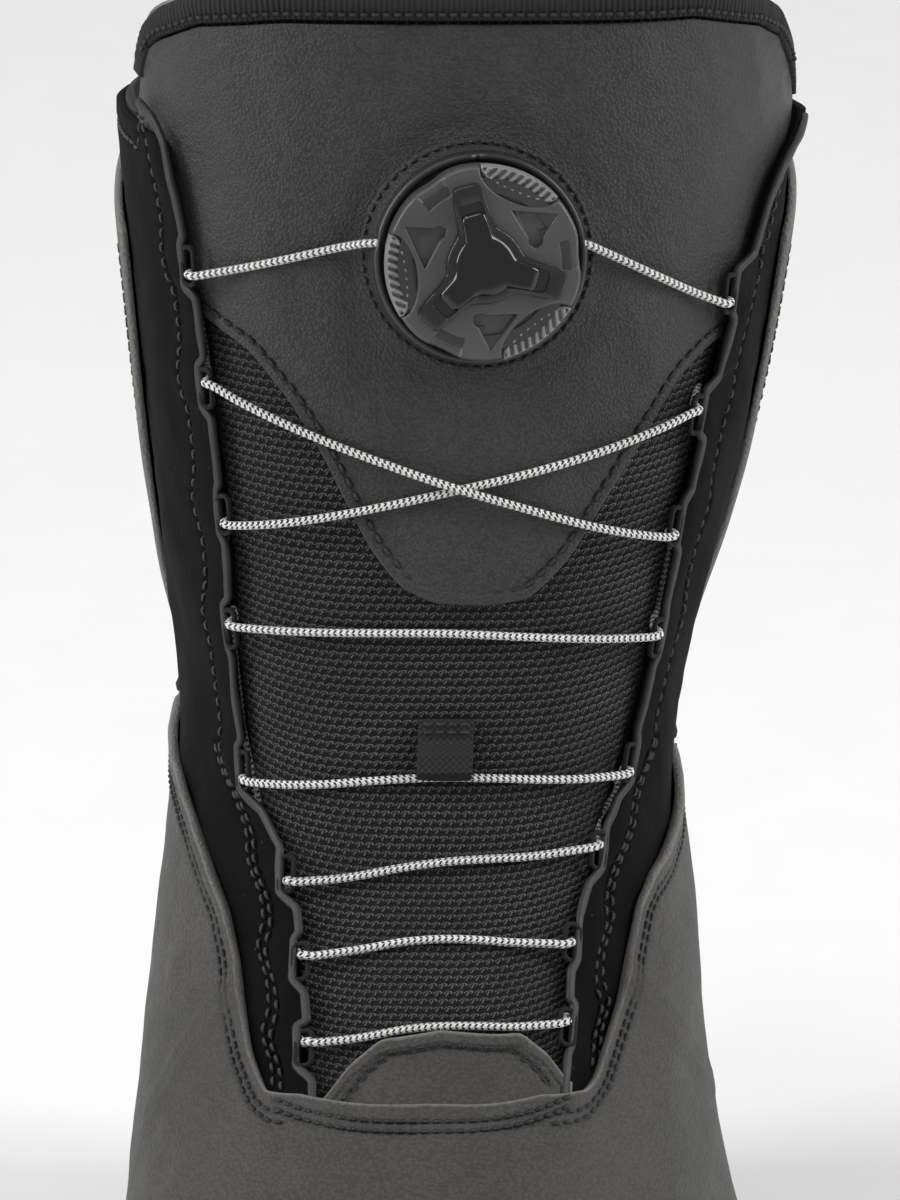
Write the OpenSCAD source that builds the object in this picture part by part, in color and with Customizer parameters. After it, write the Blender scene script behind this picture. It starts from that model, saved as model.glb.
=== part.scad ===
// Snowboard boot with a dial lacing system: a left boot, toe towards -Y, medial side towards -X.
// The origin is on the ground, under the middle of the boot.

/* [Size] */
// Length of the outsole, toe to heel
sole_length = 300; // [285:5:315]
// Width of the leg of the boot at its widest
leg_width = 135; // [128:1:142]
// Height of the tongue's top edge above the ground
boot_height = 315; // [300:5:330]

/* [Sole] */
// Thickness of the rubber outsole, lugs included
outsole_h = 6.5; // [5.5:0.5:7.5]
// Depth of the grooves between the lugs
lug_h = 3.5; // [2:0.5:4]
// Width of the grooves between the lugs
groove_w = 5; // [3:0.5:7]

/* [Upper] */
// Thickness of the leather and nubuck panels
panel_t = 1.7; // [1.2:0.1:1.8]
// Thickness of the liner's foam
liner_t = 8; // [6:0.5:9]

/* [Lacing] */
// Diameter of the braided lace
lace_d = 1.8; // [1.4:0.1:1.8]
// Diameter of the dial's knob
knob_d = 37.4; // [36.6:0.2:37.6]

/* [Hidden] */

leather = "#4b4a48";
nubuck = "#232323";
rubber = "#1b1b1c";
webbing = "#2a2927";
foam = "#3a3a3c";

// Scales from the design's reference size, 300 long, 135 wide and 315 high.
kx = leg_width / 135;
ky = sole_length / 300;
kz = boot_height / 315;

// Girth sections from the feather line up to the collar, each a tilted plane across the boot:
// front y, front z, back y, back z, foot scale, leg half width, share of leg shape, front x.
SECTIONS = [
    [-137, 21, 137, 21, 0.95, 50, 0, -6],
    [-144, 42, 144, 44, 1.00, 50, 0, -6],
    [-139, 68, 144, 68, 1.00, 50, 0, -6],
    [-121, 89, 141, 92, 0.95, 50, 0.05, -5.5],
    [-93, 105, 138, 114, 0.91, 50, 0.2, -5],
    [-65, 121, 135, 134, 0.89, 50, 0.45, -4.5],
    [-40, 141, 132, 154, 0.87, 49.5, 0.75, -4],
    [-18, 166, 131, 176, 0.87, 51, 1, -3],
    [-8, 202, 130, 208, 0.87, 57.5, 1, -1.5],
    [-1, 240, 129, 240, 0.87, 63, 1, 0],
    [5, 278, 128, 270, 0.87, 66.5, 1, 0.5],
    [10, 315, 127, 298, 0.87, 67.5, 1, 1]
];
// Half widths of the foot from toe to heel in tenths of its length, inside and outside.
FOOT_MEDIAL = [54, 57, 58.5, 56.3, 50.7, 44, 40.6, 42.5, 48, 53, 52];
FOOT_LATERAL = [44, 47, 56, 59.5, 61, 57, 50.7, 47.8, 50.3, 54.4, 52];
// How far the front corners stand out beyond the sections, inside and outside.
SWELL_MEDIAL = [4, 5, 8, 11, 10.8, 8.6, 5.4, 3.8, 1.7, 0.4, 0, 0];
SWELL_LATERAL = [0, 0, 0, -1.5, -2, -1.4, -2.6, -0.5, 0.7, 1.4, 1.8, 0];
// Angle of the throat's edge at sections 4 to 11.
THROAT = [28, 29, 33, 45.5, 48, 50.5, 57, 68];
throat_shift = 3;

// Depths below the outer surface, as low and high faces of each layer.
lining = [-5.3, -2.6];
skin = [-2 , -2 + panel_t - 0.1];
outer = [0.1, 0.1 + panel_t];
guard = [0.9 + panel_t, 2.8 + panel_t];
tongue_core = [-5.4, -2.4];
tongue_skin = [-2.05, -1.05];
gusset = [-5.3, -4.5];
guide = [-0.2, 0.9];
liner = [-6.4 - liner_t, -6.4];

// Catmull-Rom value of a table at a position counted in rows.
function along(tab, at) =
    let (n = len(tab) - 1, i = min(max(floor(at), 0), n - 1), t = at - i,
         b = tab[i], c = tab[i + 1],
         a = i > 0 ? tab[i - 1] : 2 * b - c,
         d = i < n - 1 ? tab[i + 2] : 2 * c - b)
    0.5 * (2 * b + (c - a) * t + (2 * a - 5 * b + 4 * c - d) * t * t + (3 * b - a - 3 * c + d) * t * t * t);

// Point of the boot's outer surface. turn is the angle from the front, positive on the outside
// of the foot, and level is the position in SECTIONS.
function surface_at(turn, level) =
    let (r = along(SECTIONS, level), leg = r[6],
         a = abs(turn), front = a <= 90,
         power = front ? 2.8 + 0.6 * leg : 2.7 - 0.4 * leg,
         round = sqrt(max(0, 1 - pow(abs(sin(a)), power))),
         back_share = (1 - (front ? round : -round)) / 2,
         foot = along(turn < 0 ? FOOT_MEDIAL : FOOT_LATERAL, back_share * 10),
         swell = along(turn < 0 ? SWELL_MEDIAL : SWELL_LATERAL, level) * pow(abs(sin(a)), 8),
         half_w = foot * r[4] * (1 - leg) + r[5] * leg + swell)
    [kx * (sign(turn) * half_w * sin(a) + r[7] * (1 - back_share)),
     ky * (r[0] + (r[2] - r[0]) * back_share),
     kz * (r[1] + (r[3] - r[1]) * back_share)];

function wrap(turn) = turn > 180 ? turn - 360 : turn < -180 ? turn + 360 : turn;
function unit(v) = v / norm(v);
function normal_at(turn, level) =
    unit(cross(surface_at(wrap(turn + 0.6), level) - surface_at(wrap(turn - 0.6), level),
               surface_at(wrap(turn), level + 0.05) - surface_at(wrap(turn), level - 0.05)));
function layer_at(turn, level, depth) = surface_at(wrap(turn), level) + depth * normal_at(turn, level);
function throat_at(level, side) = side * along(THROAT, level - 4) + throat_shift;
function mix(a, b, share) = a + (b - a) * share;
function steps(n) = [for (i = [0:n]) i / n];

// Faces of a closed solid between two grids of points with the same rows and columns.
function grid_faces(nu, nv) =
    let (w = nu + 1, half = w * (nv + 1))
    concat(
        [for (j = [0:nv - 1], i = [0:nu - 1]) let (k = j * w + i) [k, k + w, k + w + 1, k + 1]],
        [for (j = [0:nv - 1], i = [0:nu - 1]) let (k = half + j * w + i) [k, k + 1, k + w + 1, k + w]],
        [for (i = [0:nu - 1]) [i, i + 1, half + i + 1, half + i]],
        [for (i = [0:nu - 1]) let (k = nv * w + i) [k + 1, k, half + k, half + k + 1]],
        [for (j = [0:nv - 1]) let (k = j * w) [k + w, k, half + k, half + k + w]],
        [for (j = [0:nv - 1]) let (k = j * w + nu) [k, k + w, half + k + w, half + k]]);

// A sheet of material on the boot's surface. place(u, q) gives [turn, level] over the sheet.
module sheet(place, columns, rows, layer) {
    spots = [for (q = rows, u = columns) place(u, q)];
    points = concat([for (s = spots) layer_at(s[0], s[1], layer[1])],
                    [for (s = spots) layer_at(s[0], s[1], layer[0])]);
    polyhedron(points, grid_faces(len(columns) - 1, len(rows) - 1), convexity = 6);
}

// A ring of material right round the boot between two levels, open at both ends.
module ring(low, high, n, rows, layer) {
    turns = [for (i = [0:n - 1]) -180 + 360 * i / n];
    levels = [for (q = rows) mix(low, high, q)];
    m = len(levels);
    points = [for (depth = [layer[1], layer[0]], l = levels, t = turns) layer_at(t, l, depth)];
    function id(face, j, i) = (face * m + j) * n + i % n;
    faces = [for (i = [0:n - 1])
        each concat(
            [for (j = [0:m - 2]) [id(0, j, i), id(0, j + 1, i), id(0, j + 1, i + 1), id(0, j, i + 1)]],
            [for (j = [0:m - 2]) [id(1, j, i), id(1, j, i + 1), id(1, j + 1, i + 1), id(1, j + 1, i)]],
            [[id(0, 0, i), id(0, 0, i + 1), id(1, 0, i + 1), id(1, 0, i)],
             [id(0, m - 1, i + 1), id(0, m - 1, i), id(1, m - 1, i), id(1, m - 1, i + 1)]])];
    polyhedron(points, faces, convexity = 6);
}

// A foot-shaped cup: a ring with a closed bottom, whose floor is floor_t thick.
module cup(low, high, n, rows, layer, floor_t) {
    turns = [for (i = [0:n - 1]) -180 + 360 * i / n];
    m = len(rows);
    floor_z = surface_at(0, low)[2] + floor_t;
    inner = [for (q = rows, t = turns)
        let (p = layer_at(t, mix(low, high, q), layer[0])) [p[0], p[1], max(p[2], floor_z + q)]];
    shell = [for (q = rows, t = turns) layer_at(t, mix(low, high, q), layer[1])];
    mid_y = (shell[0][1] + shell[n / 2][1]) / 2;
    centre = 2 * m * n;
    points = concat(shell, inner, [[0, mid_y, shell[n / 4][2]], [0, mid_y, floor_z]]);
    function id(face, j, i) = (face * m + j) * n + i % n;
    faces = [for (i = [0:n - 1])
        each concat(
            [for (j = [0:m - 2]) [id(0, j, i), id(0, j + 1, i), id(0, j + 1, i + 1), id(0, j, i + 1)]],
            [for (j = [0:m - 2]) [id(1, j, i), id(1, j, i + 1), id(1, j + 1, i + 1), id(1, j + 1, i)]],
            [[id(0, m - 1, i + 1), id(0, m - 1, i), id(1, m - 1, i), id(1, m - 1, i + 1)],
             [centre, id(0, 0, i), id(0, 0, i + 1)],
             [centre + 1, id(1, 0, i + 1), id(1, 0, i)]])];
    polyhedron(points, faces, convexity = 8);
}

// A round cord through a list of points, with eight sides that don't twist.
module cord(points) {
    n = len(points);
    sides = 8;
    ways = [for (i = [0:n - 1]) unit(points[min(i + 1, n - 1)] - points[max(i - 1, 0)])];
    function level_with(v, way) = unit(v - (v * way) * way);
    across = [for (i = 0, v = level_with([0, 0.1, 1], ways[0]); i < n;
                   i = i + 1, v = level_with(v, ways[min(i, n - 1)])) v];
    rings = [for (i = [0:n - 1], k = [0:sides - 1])
        points[i] + lace_d / 2 * (cos(360 * k / sides) * across[i]
                                  + sin(360 * k / sides) * cross(ways[i], across[i]))];
    faces = concat(
        [for (i = [0:n - 2], k = [0:sides - 1])
            let (a = i * sides, k2 = (k + 1) % sides) [a + k, a + sides + k, a + sides + k2, a + k2]],
        [[for (k = [0:sides - 1]) k], [for (k = [sides - 1:-1:0]) (n - 1) * sides + k]]);
    polyhedron(rings, faces, convexity = 8);
}

// Smooth run of points through a list of waypoints, with n points to each leg.
function smooth(waypoints, n) =
    [for (i = [0:n * (len(waypoints) - 1)]) along(waypoints, i / n)];

// Foot outline at a level, pushed out by grow, as a flat polygon.
function outline(level, grow, n) =
    [for (i = [0:n - 1])
        let (turn = -180 + 360 * i / n, p = surface_at(turn, level), v = normal_at(turn, level),
             flat = unit([v[0], v[1]]))
        [p[0] + grow * flat[0], p[1] + grow * flat[1]]];

module slab(level, grow, low, high, n = 64) {
    translate([0, 0, low]) linear_extrude(high - low) polygon(outline(level, grow, n));
}

// ---- sole ----
sole_level = 0.9;
sole_grow = 6.3;
midsole_top = 20.6 * kz;
arch_at = [-18, 28];
shank_size = [16, 110 * ky, 1.6];
shank_at = [-2, 22 * ky, 12];
cushion_at = [0, 105 * ky, midsole_top - 7];
cushion_r = 22;
clear = 0.2;

module outsole() {
    color(rubber) difference() {
        slab(sole_level, sole_grow, 0, outsole_h);
        for (y = [-126, -108, -90, -72, -54, -36, 44, 60, 76, 92, 108, 124])
            translate([-80, y * ky - groove_w / 2, -1]) cube([160, groove_w, lug_h + 1]);
        for (y = [[-117, -27], [52, 116]])
            translate([-4 - groove_w / 2, y[0] * ky, -1])
                cube([groove_w, (y[1] - y[0]) * ky, lug_h + 0.6]);
        translate([-80, arch_at[0] * ky, -1]) cube([160, (arch_at[1] - arch_at[0]) * ky, lug_h + 0.3]);
    }
}

module midsole() {
    color(foam) difference() {
        slab(sole_level, sole_grow - 0.6, outsole_h + 0.1, midsole_top);
        translate(shank_at - [shank_size[0], shank_size[1], 0] / 2 - clear * [1, 1, 0.5])
            cube(shank_size + clear * [2, 2, 1]);
        translate(cushion_at) cylinder(r = cushion_r + clear, h = 20, $fn = 64);
    }
}

module shank() {
    color("silver") translate(shank_at - [shank_size[0], shank_size[1], 0] / 2) cube(shank_size);
}

module heel_cushion() {
    color("#5f6a70") translate(cushion_at + [0, 0, clear])
        cylinder(r = cushion_r, h = 7 - 2 * clear, $fn = 64);
}

module lasting_board() {
    color("#8b7d62") slab(0.1, -7.5, midsole_top + 0.3, midsole_top + 2.3, 48);
}

// ---- lower shell ----
// Top line of the vamp: pairs of the angle from the front and the level there.
VAMP_TOP = [[0, 5.02], [28, 5], [34, 4.96], [38, 4.97], [42, 5.1], [45, 5.38], [48, 5.68], [52, 5.94],
            [60, 6.08], [75, 6.12], [95, 6.14]];
quarter_top = 6.16;
feather = 0.06;

module vamp() {
    side_turns = [0, 7, 14, 21, 28, 34, 38, 42, 45, 48, 52, 56, 60, 65, 70, 76, 82, 88, 94];
    turns = concat([for (i = [len(side_turns) - 1:-1:1]) -side_turns[i]], side_turns);
    color(leather)
        sheet(function (u, q) [u, mix(feather, lookup(abs(u), VAMP_TOP), q)],
              turns, [for (q = steps(15)) 1 - pow(1 - q, 1.3)], outer);
}

module quarter(side) {
    color(leather)
        sheet(function (u, q) [side * mix(95, 176, u), mix(feather, quarter_top + 0.2 * u, q)],
              side > 0 ? steps(11) : [for (i = steps(11)) 1 - i], steps(11), outer);
}

module toe_bumper() {
    color(rubber)
        sheet(function (u, q) [mix(-66, 66, u), mix(feather, 1.75 - 0.9 * pow(2 * u - 1, 2), q)],
              steps(20), steps(4), guard);
}

module heel_counter() {
    color(rubber)
        sheet(function (u, q) [mix(122, 238, u), mix(feather, 3.9 - 1.6 * pow(abs(2 * u - 1), 3), q)],
              steps(16), steps(8), guard);
}

module shell_lining_lower() { color(foam) ring(0.12, 4.6, 40, steps(8), lining); }

// ---- leg of the shell ----
front_top = 10.38;
cuff_top = 10.05;
cuff_bottom = 6.45;

module front_panel(side) {
    color(nubuck)
        sheet(function (u, q)
                  let (level = mix(4.72, front_top - 0.5 * pow(max(0, 2.2 * u - 1.6), 2), q))
                  [mix(throat_at(level, side) + side * 8.6, side * 112, u), level],
              side > 0 ? steps(11) : [for (i = steps(11)) 1 - i], steps(20), skin);
}

// The cuff's front edge leans back towards the ankle.
function cuff_front(level) = 79 + 25 * pow((9.6 - min(level, 9.6)) / 3.2, 2);

module cuff(side) {
    color(leather)
        sheet(function (u, q)
                  let (level = mix(cuff_bottom, mix(9.5, cuff_top, min(1, 2.5 * u)), q))
                  [side * mix(cuff_front(level), 171, u), level],
              side > 0 ? steps(10) : [for (i = steps(10)) 1 - i], steps(11), outer);
}

module backstay() {
    color(nubuck)
        sheet(function (u, q)
                  let (level = mix(4.1, cuff_top + 0.1, q))
                  [mix(164 + 3 * q, 196 - 3 * q, u), level],
              steps(4), steps(12), guard);
}

module shell_lining_upper() {
    color(foam)
        sheet(function (u, q)
                  let (level = mix(4.72, 10.15, q), edge = 10.6)
                  [mix(throat_at(level, 1) + edge, throat_at(level, -1) + 360 - edge, u), level],
              steps(28), steps(16), lining);
}

// Rolled edge along the top of the leg.
module collar_binding() {
    color(webbing)
        sheet(function (u, q)
                  [mix(throat_at(10.3, 1) + 15, throat_at(10.3, -1) + 345, u), mix(10.2, 10.42, q)],
              steps(26), steps(1), [-5.4, -2.2]);
}

loop_w = 22;
module heel_loop() {
    loop_t = 1.6;
    loop_level = 9.2;
    color(webbing)
        on_surface(180, loop_level, guard[1] + 0.4)
            translate([loop_w / 2, -22, 0]) rotate([0, -90, 0]) linear_extrude(loop_w)
                difference() {
                    hull() {
                        square([loop_t, 44]);
                        translate([6, 22]) circle(r = 6.4, $fn = 32);
                    }
                    hull() {
                        translate([loop_t, 8]) square([0.4, 28]);
                        translate([6, 22]) circle(r = 6.4 - loop_t, $fn = 32);
                    }
                }
}

// ---- throat and lacing ----
// Levels of the eight lace guides on each side, from the top down.
GUIDES_MEDIAL = [9.5, 8.95, 8.22, 7.7, 6.93, 6.4, 5.92, 5.4];
GUIDES_LATERAL = [9.36, 8.82, 8.16, 7.66, 6.93, 6.52, 5.96, 5.45];
guide_turn = 3.6;
guide_size = [5.6, 9.6];
window = [lace_d + 2, 7.2];

module throat_edge(side) {
    color(rubber)
        sheet(function (u, q)
                  let (level = mix(5.02, front_top, q))
                  [throat_at(level, side) + side * mix(5.6, 8, u), level],
              side > 0 ? [0, 1] : [1, 0], steps(18), [skin[0], skin[0] + 0.9]);
}

// A frame on the surface: x across the boot, y up along it, z outwards, and its origin.
function frame_at(turn, level, depth) =
    let (z = normal_at(turn, level),
         y = unit(surface_at(turn, level + 0.05) - surface_at(turn, level - 0.05)))
    [cross(y, z), y, z, layer_at(turn, level, depth)];

module on_surface(turn, level, depth) {
    f = frame_at(turn, level, depth);
    x = f[0];
    y = f[1];
    z = f[2];
    p = f[3];
    multmatrix([[x[0], y[0], z[0], p[0]], [x[1], y[1], z[1], p[1]], [x[2], y[2], z[2], p[2]]])
        children();
}

module lace_guides(side, levels) {
    color(rubber)
        for (level = levels)
            on_surface(throat_at(level, side) + side * guide_turn, level, guide[0])
                linear_extrude(guide[1] - guide[0]) difference() {
                    square(guide_size, center = true);
                    square(window, center = true);
                }
}

module gusset(side) {
    color(webbing)
        sheet(function (u, q)
                  let (level = mix(4.75, 10.3, q))
                  [throat_at(level, side) + side * mix(-1.2, 9.8, u), level],
              side > 0 ? [0, 0.5, 1] : [1, 0.5, 0], steps(20), gusset);
}

// ---- tongue ----
tongue_split = 6.9;
tongue_top = 11.03;
wing_from = 10.5;
wing_turn = 70;
// Lower edge of the tongue's leather: level against angle from the tongue's middle.
LEATHER_TURNS = [0, 7, 13, 19, 24, 28, 33, 38];
LEATHER_LOWS = [7.95, 7.95, 7.98, 8.2, 8.43, 8.62, 8.83, 8.98];

// Half angle of the tongue: inside the throat's edge, then wide above the front panels.
function tongue_turn(level, side) =
    level < wing_from ? throat_at(level, side) - side * 2.4
                      : side * wing_turn + throat_shift + 1
                        - side * 14 * pow(max(0, level - 10.72) / 0.31, 2);

module tongue_lower() {
    color(webbing)
        sheet(function (u, q)
                  let (level = mix(4.66, tongue_split - 0.03, q))
                  [mix(tongue_turn(level, -1), tongue_turn(level, 1), u), level],
              steps(14), steps(10), tongue_core);
}

module tongue_tab() {
    color(leather)
        sheet(function (u, q)
                  [mix(-31, 36, u), mix(4.66, 4.94 + 0.54 * (1 - pow(abs(2 * u - 1), 4)), q)],
              steps(16), steps(3), tongue_skin);
}

// Rows of the upper tongue, close together where the wings spread.
UPPER_ROWS = [6.98, 7.3, 7.7, 8.1, 8.5, 8.9, 9.3, 9.7, 10.1, 10.46, 10.52, 10.72, 10.86, 10.95, tongue_top];

module tongue_upper() {
    color(webbing)
        sheet(function (u, q)
                  let (level = UPPER_ROWS[q])
                  [mix(tongue_turn(level, -1), tongue_turn(level, 1), u), level],
              steps(16), [for (i = [0:len(UPPER_ROWS) - 1]) i], tongue_core);
}

module tongue_leather() {
    n = len(LEATHER_TURNS);
    turns = concat([for (i = [n - 1:-1:1]) -LEATHER_TURNS[i]], LEATHER_TURNS);
    lows = concat([for (i = [n - 1:-1:1]) LEATHER_LOWS[i]], LEATHER_LOWS);
    levels = [9.3, 9.7, 10.1, 10.46, 10.52, 10.72, 10.84];
    color(leather)
        sheet(function (u, q)
                  let (level = q == 0 ? lows[u] : q == 1 ? mix(lows[u], 9.3, 0.6) : levels[q - 2],
                       wide = level > 9.2 ? abs(tongue_turn(level, sign(turns[u]))) : 42,
                       reach = (wide - 1 + sign(turns[u]) * (level > 9.2 ? -4 : 0)) / 38)
                  [turns[u] * reach + 4, level],
              [for (i = [0:2 * n - 2]) i], [for (i = [0:8]) i], tongue_skin);
}

module tongue_binding() {
    color(webbing)
        sheet(function (u, q)
                  let (level = mix(10.86, tongue_top, q))
                  [mix(tongue_turn(level, -1), tongue_turn(level, 1), u), level],
              steps(18), steps(3), tongue_skin);
}

module lace_keeper() {
    color(webbing)
        on_surface(4, 7.21, tongue_core[1] + 0.7)
            rotate([90, 0, 90]) translate([0, 0, -5.6]) linear_extrude(11.2)
                difference() {
                    translate([-6.4, 0]) square([11.8, 4.6]);
                    translate([-5.4, 1]) square([9.8, 2.6]);
                }
}

// ---- dial ----
dial_azimuth = 6;
dial_elevation = 8;
dial_seat = [5.5, 1.53, 267.2];
port_z = 2.9;
post_r = 2.6;
chamber_r = 15.2;
wall_t = 1.3;
spool_r = 14.4;
core_r = 9.6;
knob_r = knob_d / 2;
skirt_r = knob_r - 1.7;
knob_z = [4.4, 11];
lobes = 3;

dial_place = [dial_seat[0] * kx, dial_seat[1] * ky, dial_seat[2] * kz];
module on_dial() {
    translate(dial_place) rotate([90 - dial_elevation, 0, dial_azimuth]) children();
}
// Place of a point given in the dial's own frame.
function dial_point(x, z) =
    let (e = dial_elevation, a = dial_azimuth)
    dial_place + x * [cos(a), sin(a), 0] + z * [sin(a) * cos(e), -cos(a) * cos(e), sin(e)];

module tube(r_out, r_in, low, high) {
    translate([0, 0, low]) difference() {
        cylinder(r = r_out, h = high - low, $fn = 96);
        translate([0, 0, -1]) cylinder(r = r_in, h = high - low + 2, $fn = 96);
    }
}

module dial_patch() {
    color(webbing) on_dial() translate([0, 0, -1.5]) cylinder(r = 21.8, h = 1.4, $fn = 96);
}

module dial_base() {
    color(rubber) on_dial() difference() {
        union() {
            cylinder(r = 20.4, h = 1.5, $fn = 96);
            tube(20.4, 19.2, 1.4, 3.6);
            tube(chamber_r + wall_t, chamber_r, 1.4, 8);
            cylinder(r = post_r, h = 8.4, $fn = 48);
        }
        translate([0, 0, 2.4]) cylinder(r = 1, h = 10, $fn = 32);
        for (side = [-1, 1])
            translate([side * 17, 0, port_z]) rotate([0, 90, 0])
                cylinder(r = lace_d / 2 + 0.35, h = 8, center = true, $fn = 32);
    }
}

module dial_screw() {
    color("silver") on_dial() {
        difference() {
            translate([0, 0, 8.5]) cylinder(r = 3.1, h = 0.8, $fn = 48);
            translate([0, 0, 8.9]) cylinder(r = 1, h = 2, $fn = 6);
        }
        translate([0, 0, 3]) cylinder(r = 0.9, h = 5.5, $fn = 32);
    }
}

module dial_pawl_ring() {
    color("#3c3c3c") on_dial() {
        tube(skirt_r - 0.6, 13.6, 9.1, 9.7);
        for (i = [0:lobes - 1])
            rotate([0, 0, 120 * i + 20]) translate([11.8, -2, 9.2]) cube([2.4, 4, 0.4]);
    }
}

module dial_spool() {
    color("#3c3c3c") on_dial() {
        difference() {
            union() {
                translate([0, 0, 1.8]) cylinder(r = spool_r, h = 1, $fn = 96);
                cylinder(r = core_r, h = 7.6, $fn = 96);
                translate([0, 0, 6.6]) cylinder(r = spool_r, h = 1, $fn = 96);
                for (i = [0:11])
                    rotate([0, 0, 30 * i]) translate([6.4, -0.6, 7.4]) cube([2.2, 1.2, 0.8]);
            }
            translate([0, 0, -1]) cylinder(r = post_r + 0.06, h = 12, $fn = 48);
            translate([0, 0, -1]) cylinder(r = core_r + 1, h = 2.8, $fn = 48);
        }
    }
}

module spool_lace() {
    color("white") on_dial()
        for (z = [3.75, 5.65])
            translate([0, 0, z]) rotate_extrude($fn = 96)
                translate([core_r + lace_d / 2 + 0.1, 0]) circle(r = lace_d / 2, $fn = 24);
}

// Cuts in the knob's skirt hold the three grip pads.
pad_turn = 66;
arm_turn = 103;
module knob_core() {
    color("#3f4042") on_dial() difference() {
        union() {
            translate([0, 0, 9.9]) cylinder(r = knob_r - 0.6, h = knob_z[1] - 9.9, $fn = 96);
            tube(knob_r - 0.6, skirt_r - 0.3, knob_z[0], 10);
        }
        for (i = [0:lobes - 1]) rotate([0, 0, 120 * i + pad_turn]) intersection() {
            tube(knob_r + 5, skirt_r - 0.4, knob_z[0] - 1, knob_z[1] + 1);
            translate([0, -7, 0]) cube([30, 14, 20]);
        }
        translate([0, 0, 9.8]) cylinder(r = 4, h = 0.5, $fn = 48);
    }
}

module knob_grips() {
    color(rubber) on_dial()
        for (i = [0:lobes - 1]) rotate([0, 0, 120 * i + pad_turn]) {
            intersection() {
                tube(knob_r, skirt_r - 0.2, knob_z[0], knob_z[1]);
                translate([0, -6.8, 0]) cube([30, 13.6, 20]);
            }
        }
}

module knob_cover() {
    color("#0c0c0d") on_dial() translate([0, 0, knob_z[1] + 0.1]) {
        cylinder(r = 7.4, h = 1.6, $fn = 64);
        for (i = [0:lobes - 1]) rotate([0, 0, 120 * i + arm_turn])
            translate([3, -3.6, 0.2]) cube([11, 7.2, 1.1]);
    }
}

// The lace runs from one side of the dial round all the guides and back to the other side.
// Heights of the lace's middle over the boot's surface: on the leather, on the knit, and behind.
on_leather = 0.5;
on_knit = -1;
behind = -3.3;

function window_of(side, i) =
    let (level = (side < 0 ? GUIDES_MEDIAL : GUIDES_LATERAL)[i])
    [throat_at(level, side) + side * guide_turn, level, side];
// Point near a guide in the guide's own frame: out is away from the throat, up along the leg.
function near(spot, out, up, height) =
    let (f = frame_at(spot[0], spot[1], 0))
    f[3] + spot[2] * out * f[0] + up * f[1] + height * f[2];
// Points that take the lace over a guide's inner bar and down through its window.
function entering(side, i, way) =
    let (w = window_of(side, i))
    [near(w, -4.8, 0, 0.95), near(w, -2.4, 0, 2.65), near(w, -0.1, 0, 1.7),
     near(w, 0.1, 0, -1.2), near(w, 0.1, way * 2.2, behind)];
function backwards(points) = [for (i = [len(points) - 1:-1:0]) points[i]];
function leaving(side, i, way) = backwards(entering(side, i, way));
// Points across the boot from a guide on one side to a guide on the other.
function across(side, i, j, height, lift, arch) =
    let (a = window_of(side, i), b = window_of(-side, j))
    [for (t = [0.14, 0.32, 0.5, 0.68, 0.86])
        let (bow = 1 - pow(2 * t - 1, 2))
        layer_at(mix(a[0], b[0], t), mix(a[1], b[1], t) + arch * bow, height + lift * bow)];

module lace_upper() {
    one = concat(
        [dial_point(-15.6, port_z), dial_point(-19, port_z), dial_point(-22.5, port_z - 0.2)],
        [layer_at(-29, 9.67, 1.7), layer_at(-37, 9.6, 0.5)],
        entering(-1, 0, -1), leaving(-1, 1, 1), across(-1, 1, 2, on_leather, 2.2, 0),
        entering(1, 2, -1), leaving(1, 3, 1), across(1, 3, 3, on_knit, 0, 0.1),
        entering(-1, 3, -1), leaving(-1, 4, 1), across(-1, 4, 4, on_knit, 1.5, 0.17),
        entering(1, 4, -1));
    other = concat(
        [dial_point(15.6, port_z), dial_point(19, port_z), dial_point(22.5, port_z - 0.2)],
        [layer_at(38, 9.56, 1.3), layer_at(44, 9.47, 0.5)],
        entering(1, 0, -1), leaving(1, 1, 1), across(1, 1, 2, on_leather, 0, 0),
        entering(-1, 2, -1));
    color("white") {
        cord(smooth(one, 2));
        cord(smooth(other, 2));
    }
}

module lace_lower() {
    // The return run rises in the channel between the throat's edge and the shell's lining.
    channel = [for (level = [5.3, 5.7, 6.1, 6.5, 6.9, 7.3, 7.6])
        layer_at(throat_at(level, -1) - 8.3, level, behind)];
    route = concat(
        leaving(1, 5, 1), across(1, 5, 5, on_knit, 0, 0.14),
        entering(-1, 5, -1), leaving(-1, 6, 1), across(-1, 6, 6, on_knit, 0, 0.19),
        entering(1, 6, -1), leaving(1, 7, 1), across(1, 7, 7, on_knit, 1.2, 0.18),
        entering(-1, 7, -1), channel, [near(window_of(-1, 2), 0.6, -6, behind)]);
    color("white") cord(smooth(route, 2));
}

// ---- liner ----
liner_level = 6.92;
liner_top = 10.75;
liner_back_z = surface_at(180, liner_top)[2];
liner_throat = 17;

liner_low = 0.12;
liner_floor = surface_at(0, liner_low)[2] + liner_t;

module liner_foot() {
    rows = [0, 0.05, 0.14, 0.28, 0.42, 0.54, 0.62, 0.7, 0.77, 0.84, 0.9, 0.95, 1];
    color(foam) cup(liner_low, liner_level - 0.03, 40, rows, liner, liner_t);
}

module liner_cuff() {
    color(foam)
        sheet(function (u, q)
                  let (level = mix(liner_level + 0.04, liner_top, q))
                  [mix(throat_at(level, 1) - liner_throat, throat_at(level, -1) + 360 + liner_throat, u), level],
              steps(32), steps(11), liner);
}

module liner_tongue() {
    color(foam)
        sheet(function (u, q)
                  let (level = mix(liner_level + 0.12, 10.9, q), edge = liner_throat + 1.8)
                  [mix(throat_at(level, -1) + edge, throat_at(level, 1) - edge, u), level],
              steps(10), steps(11), liner);
}

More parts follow.
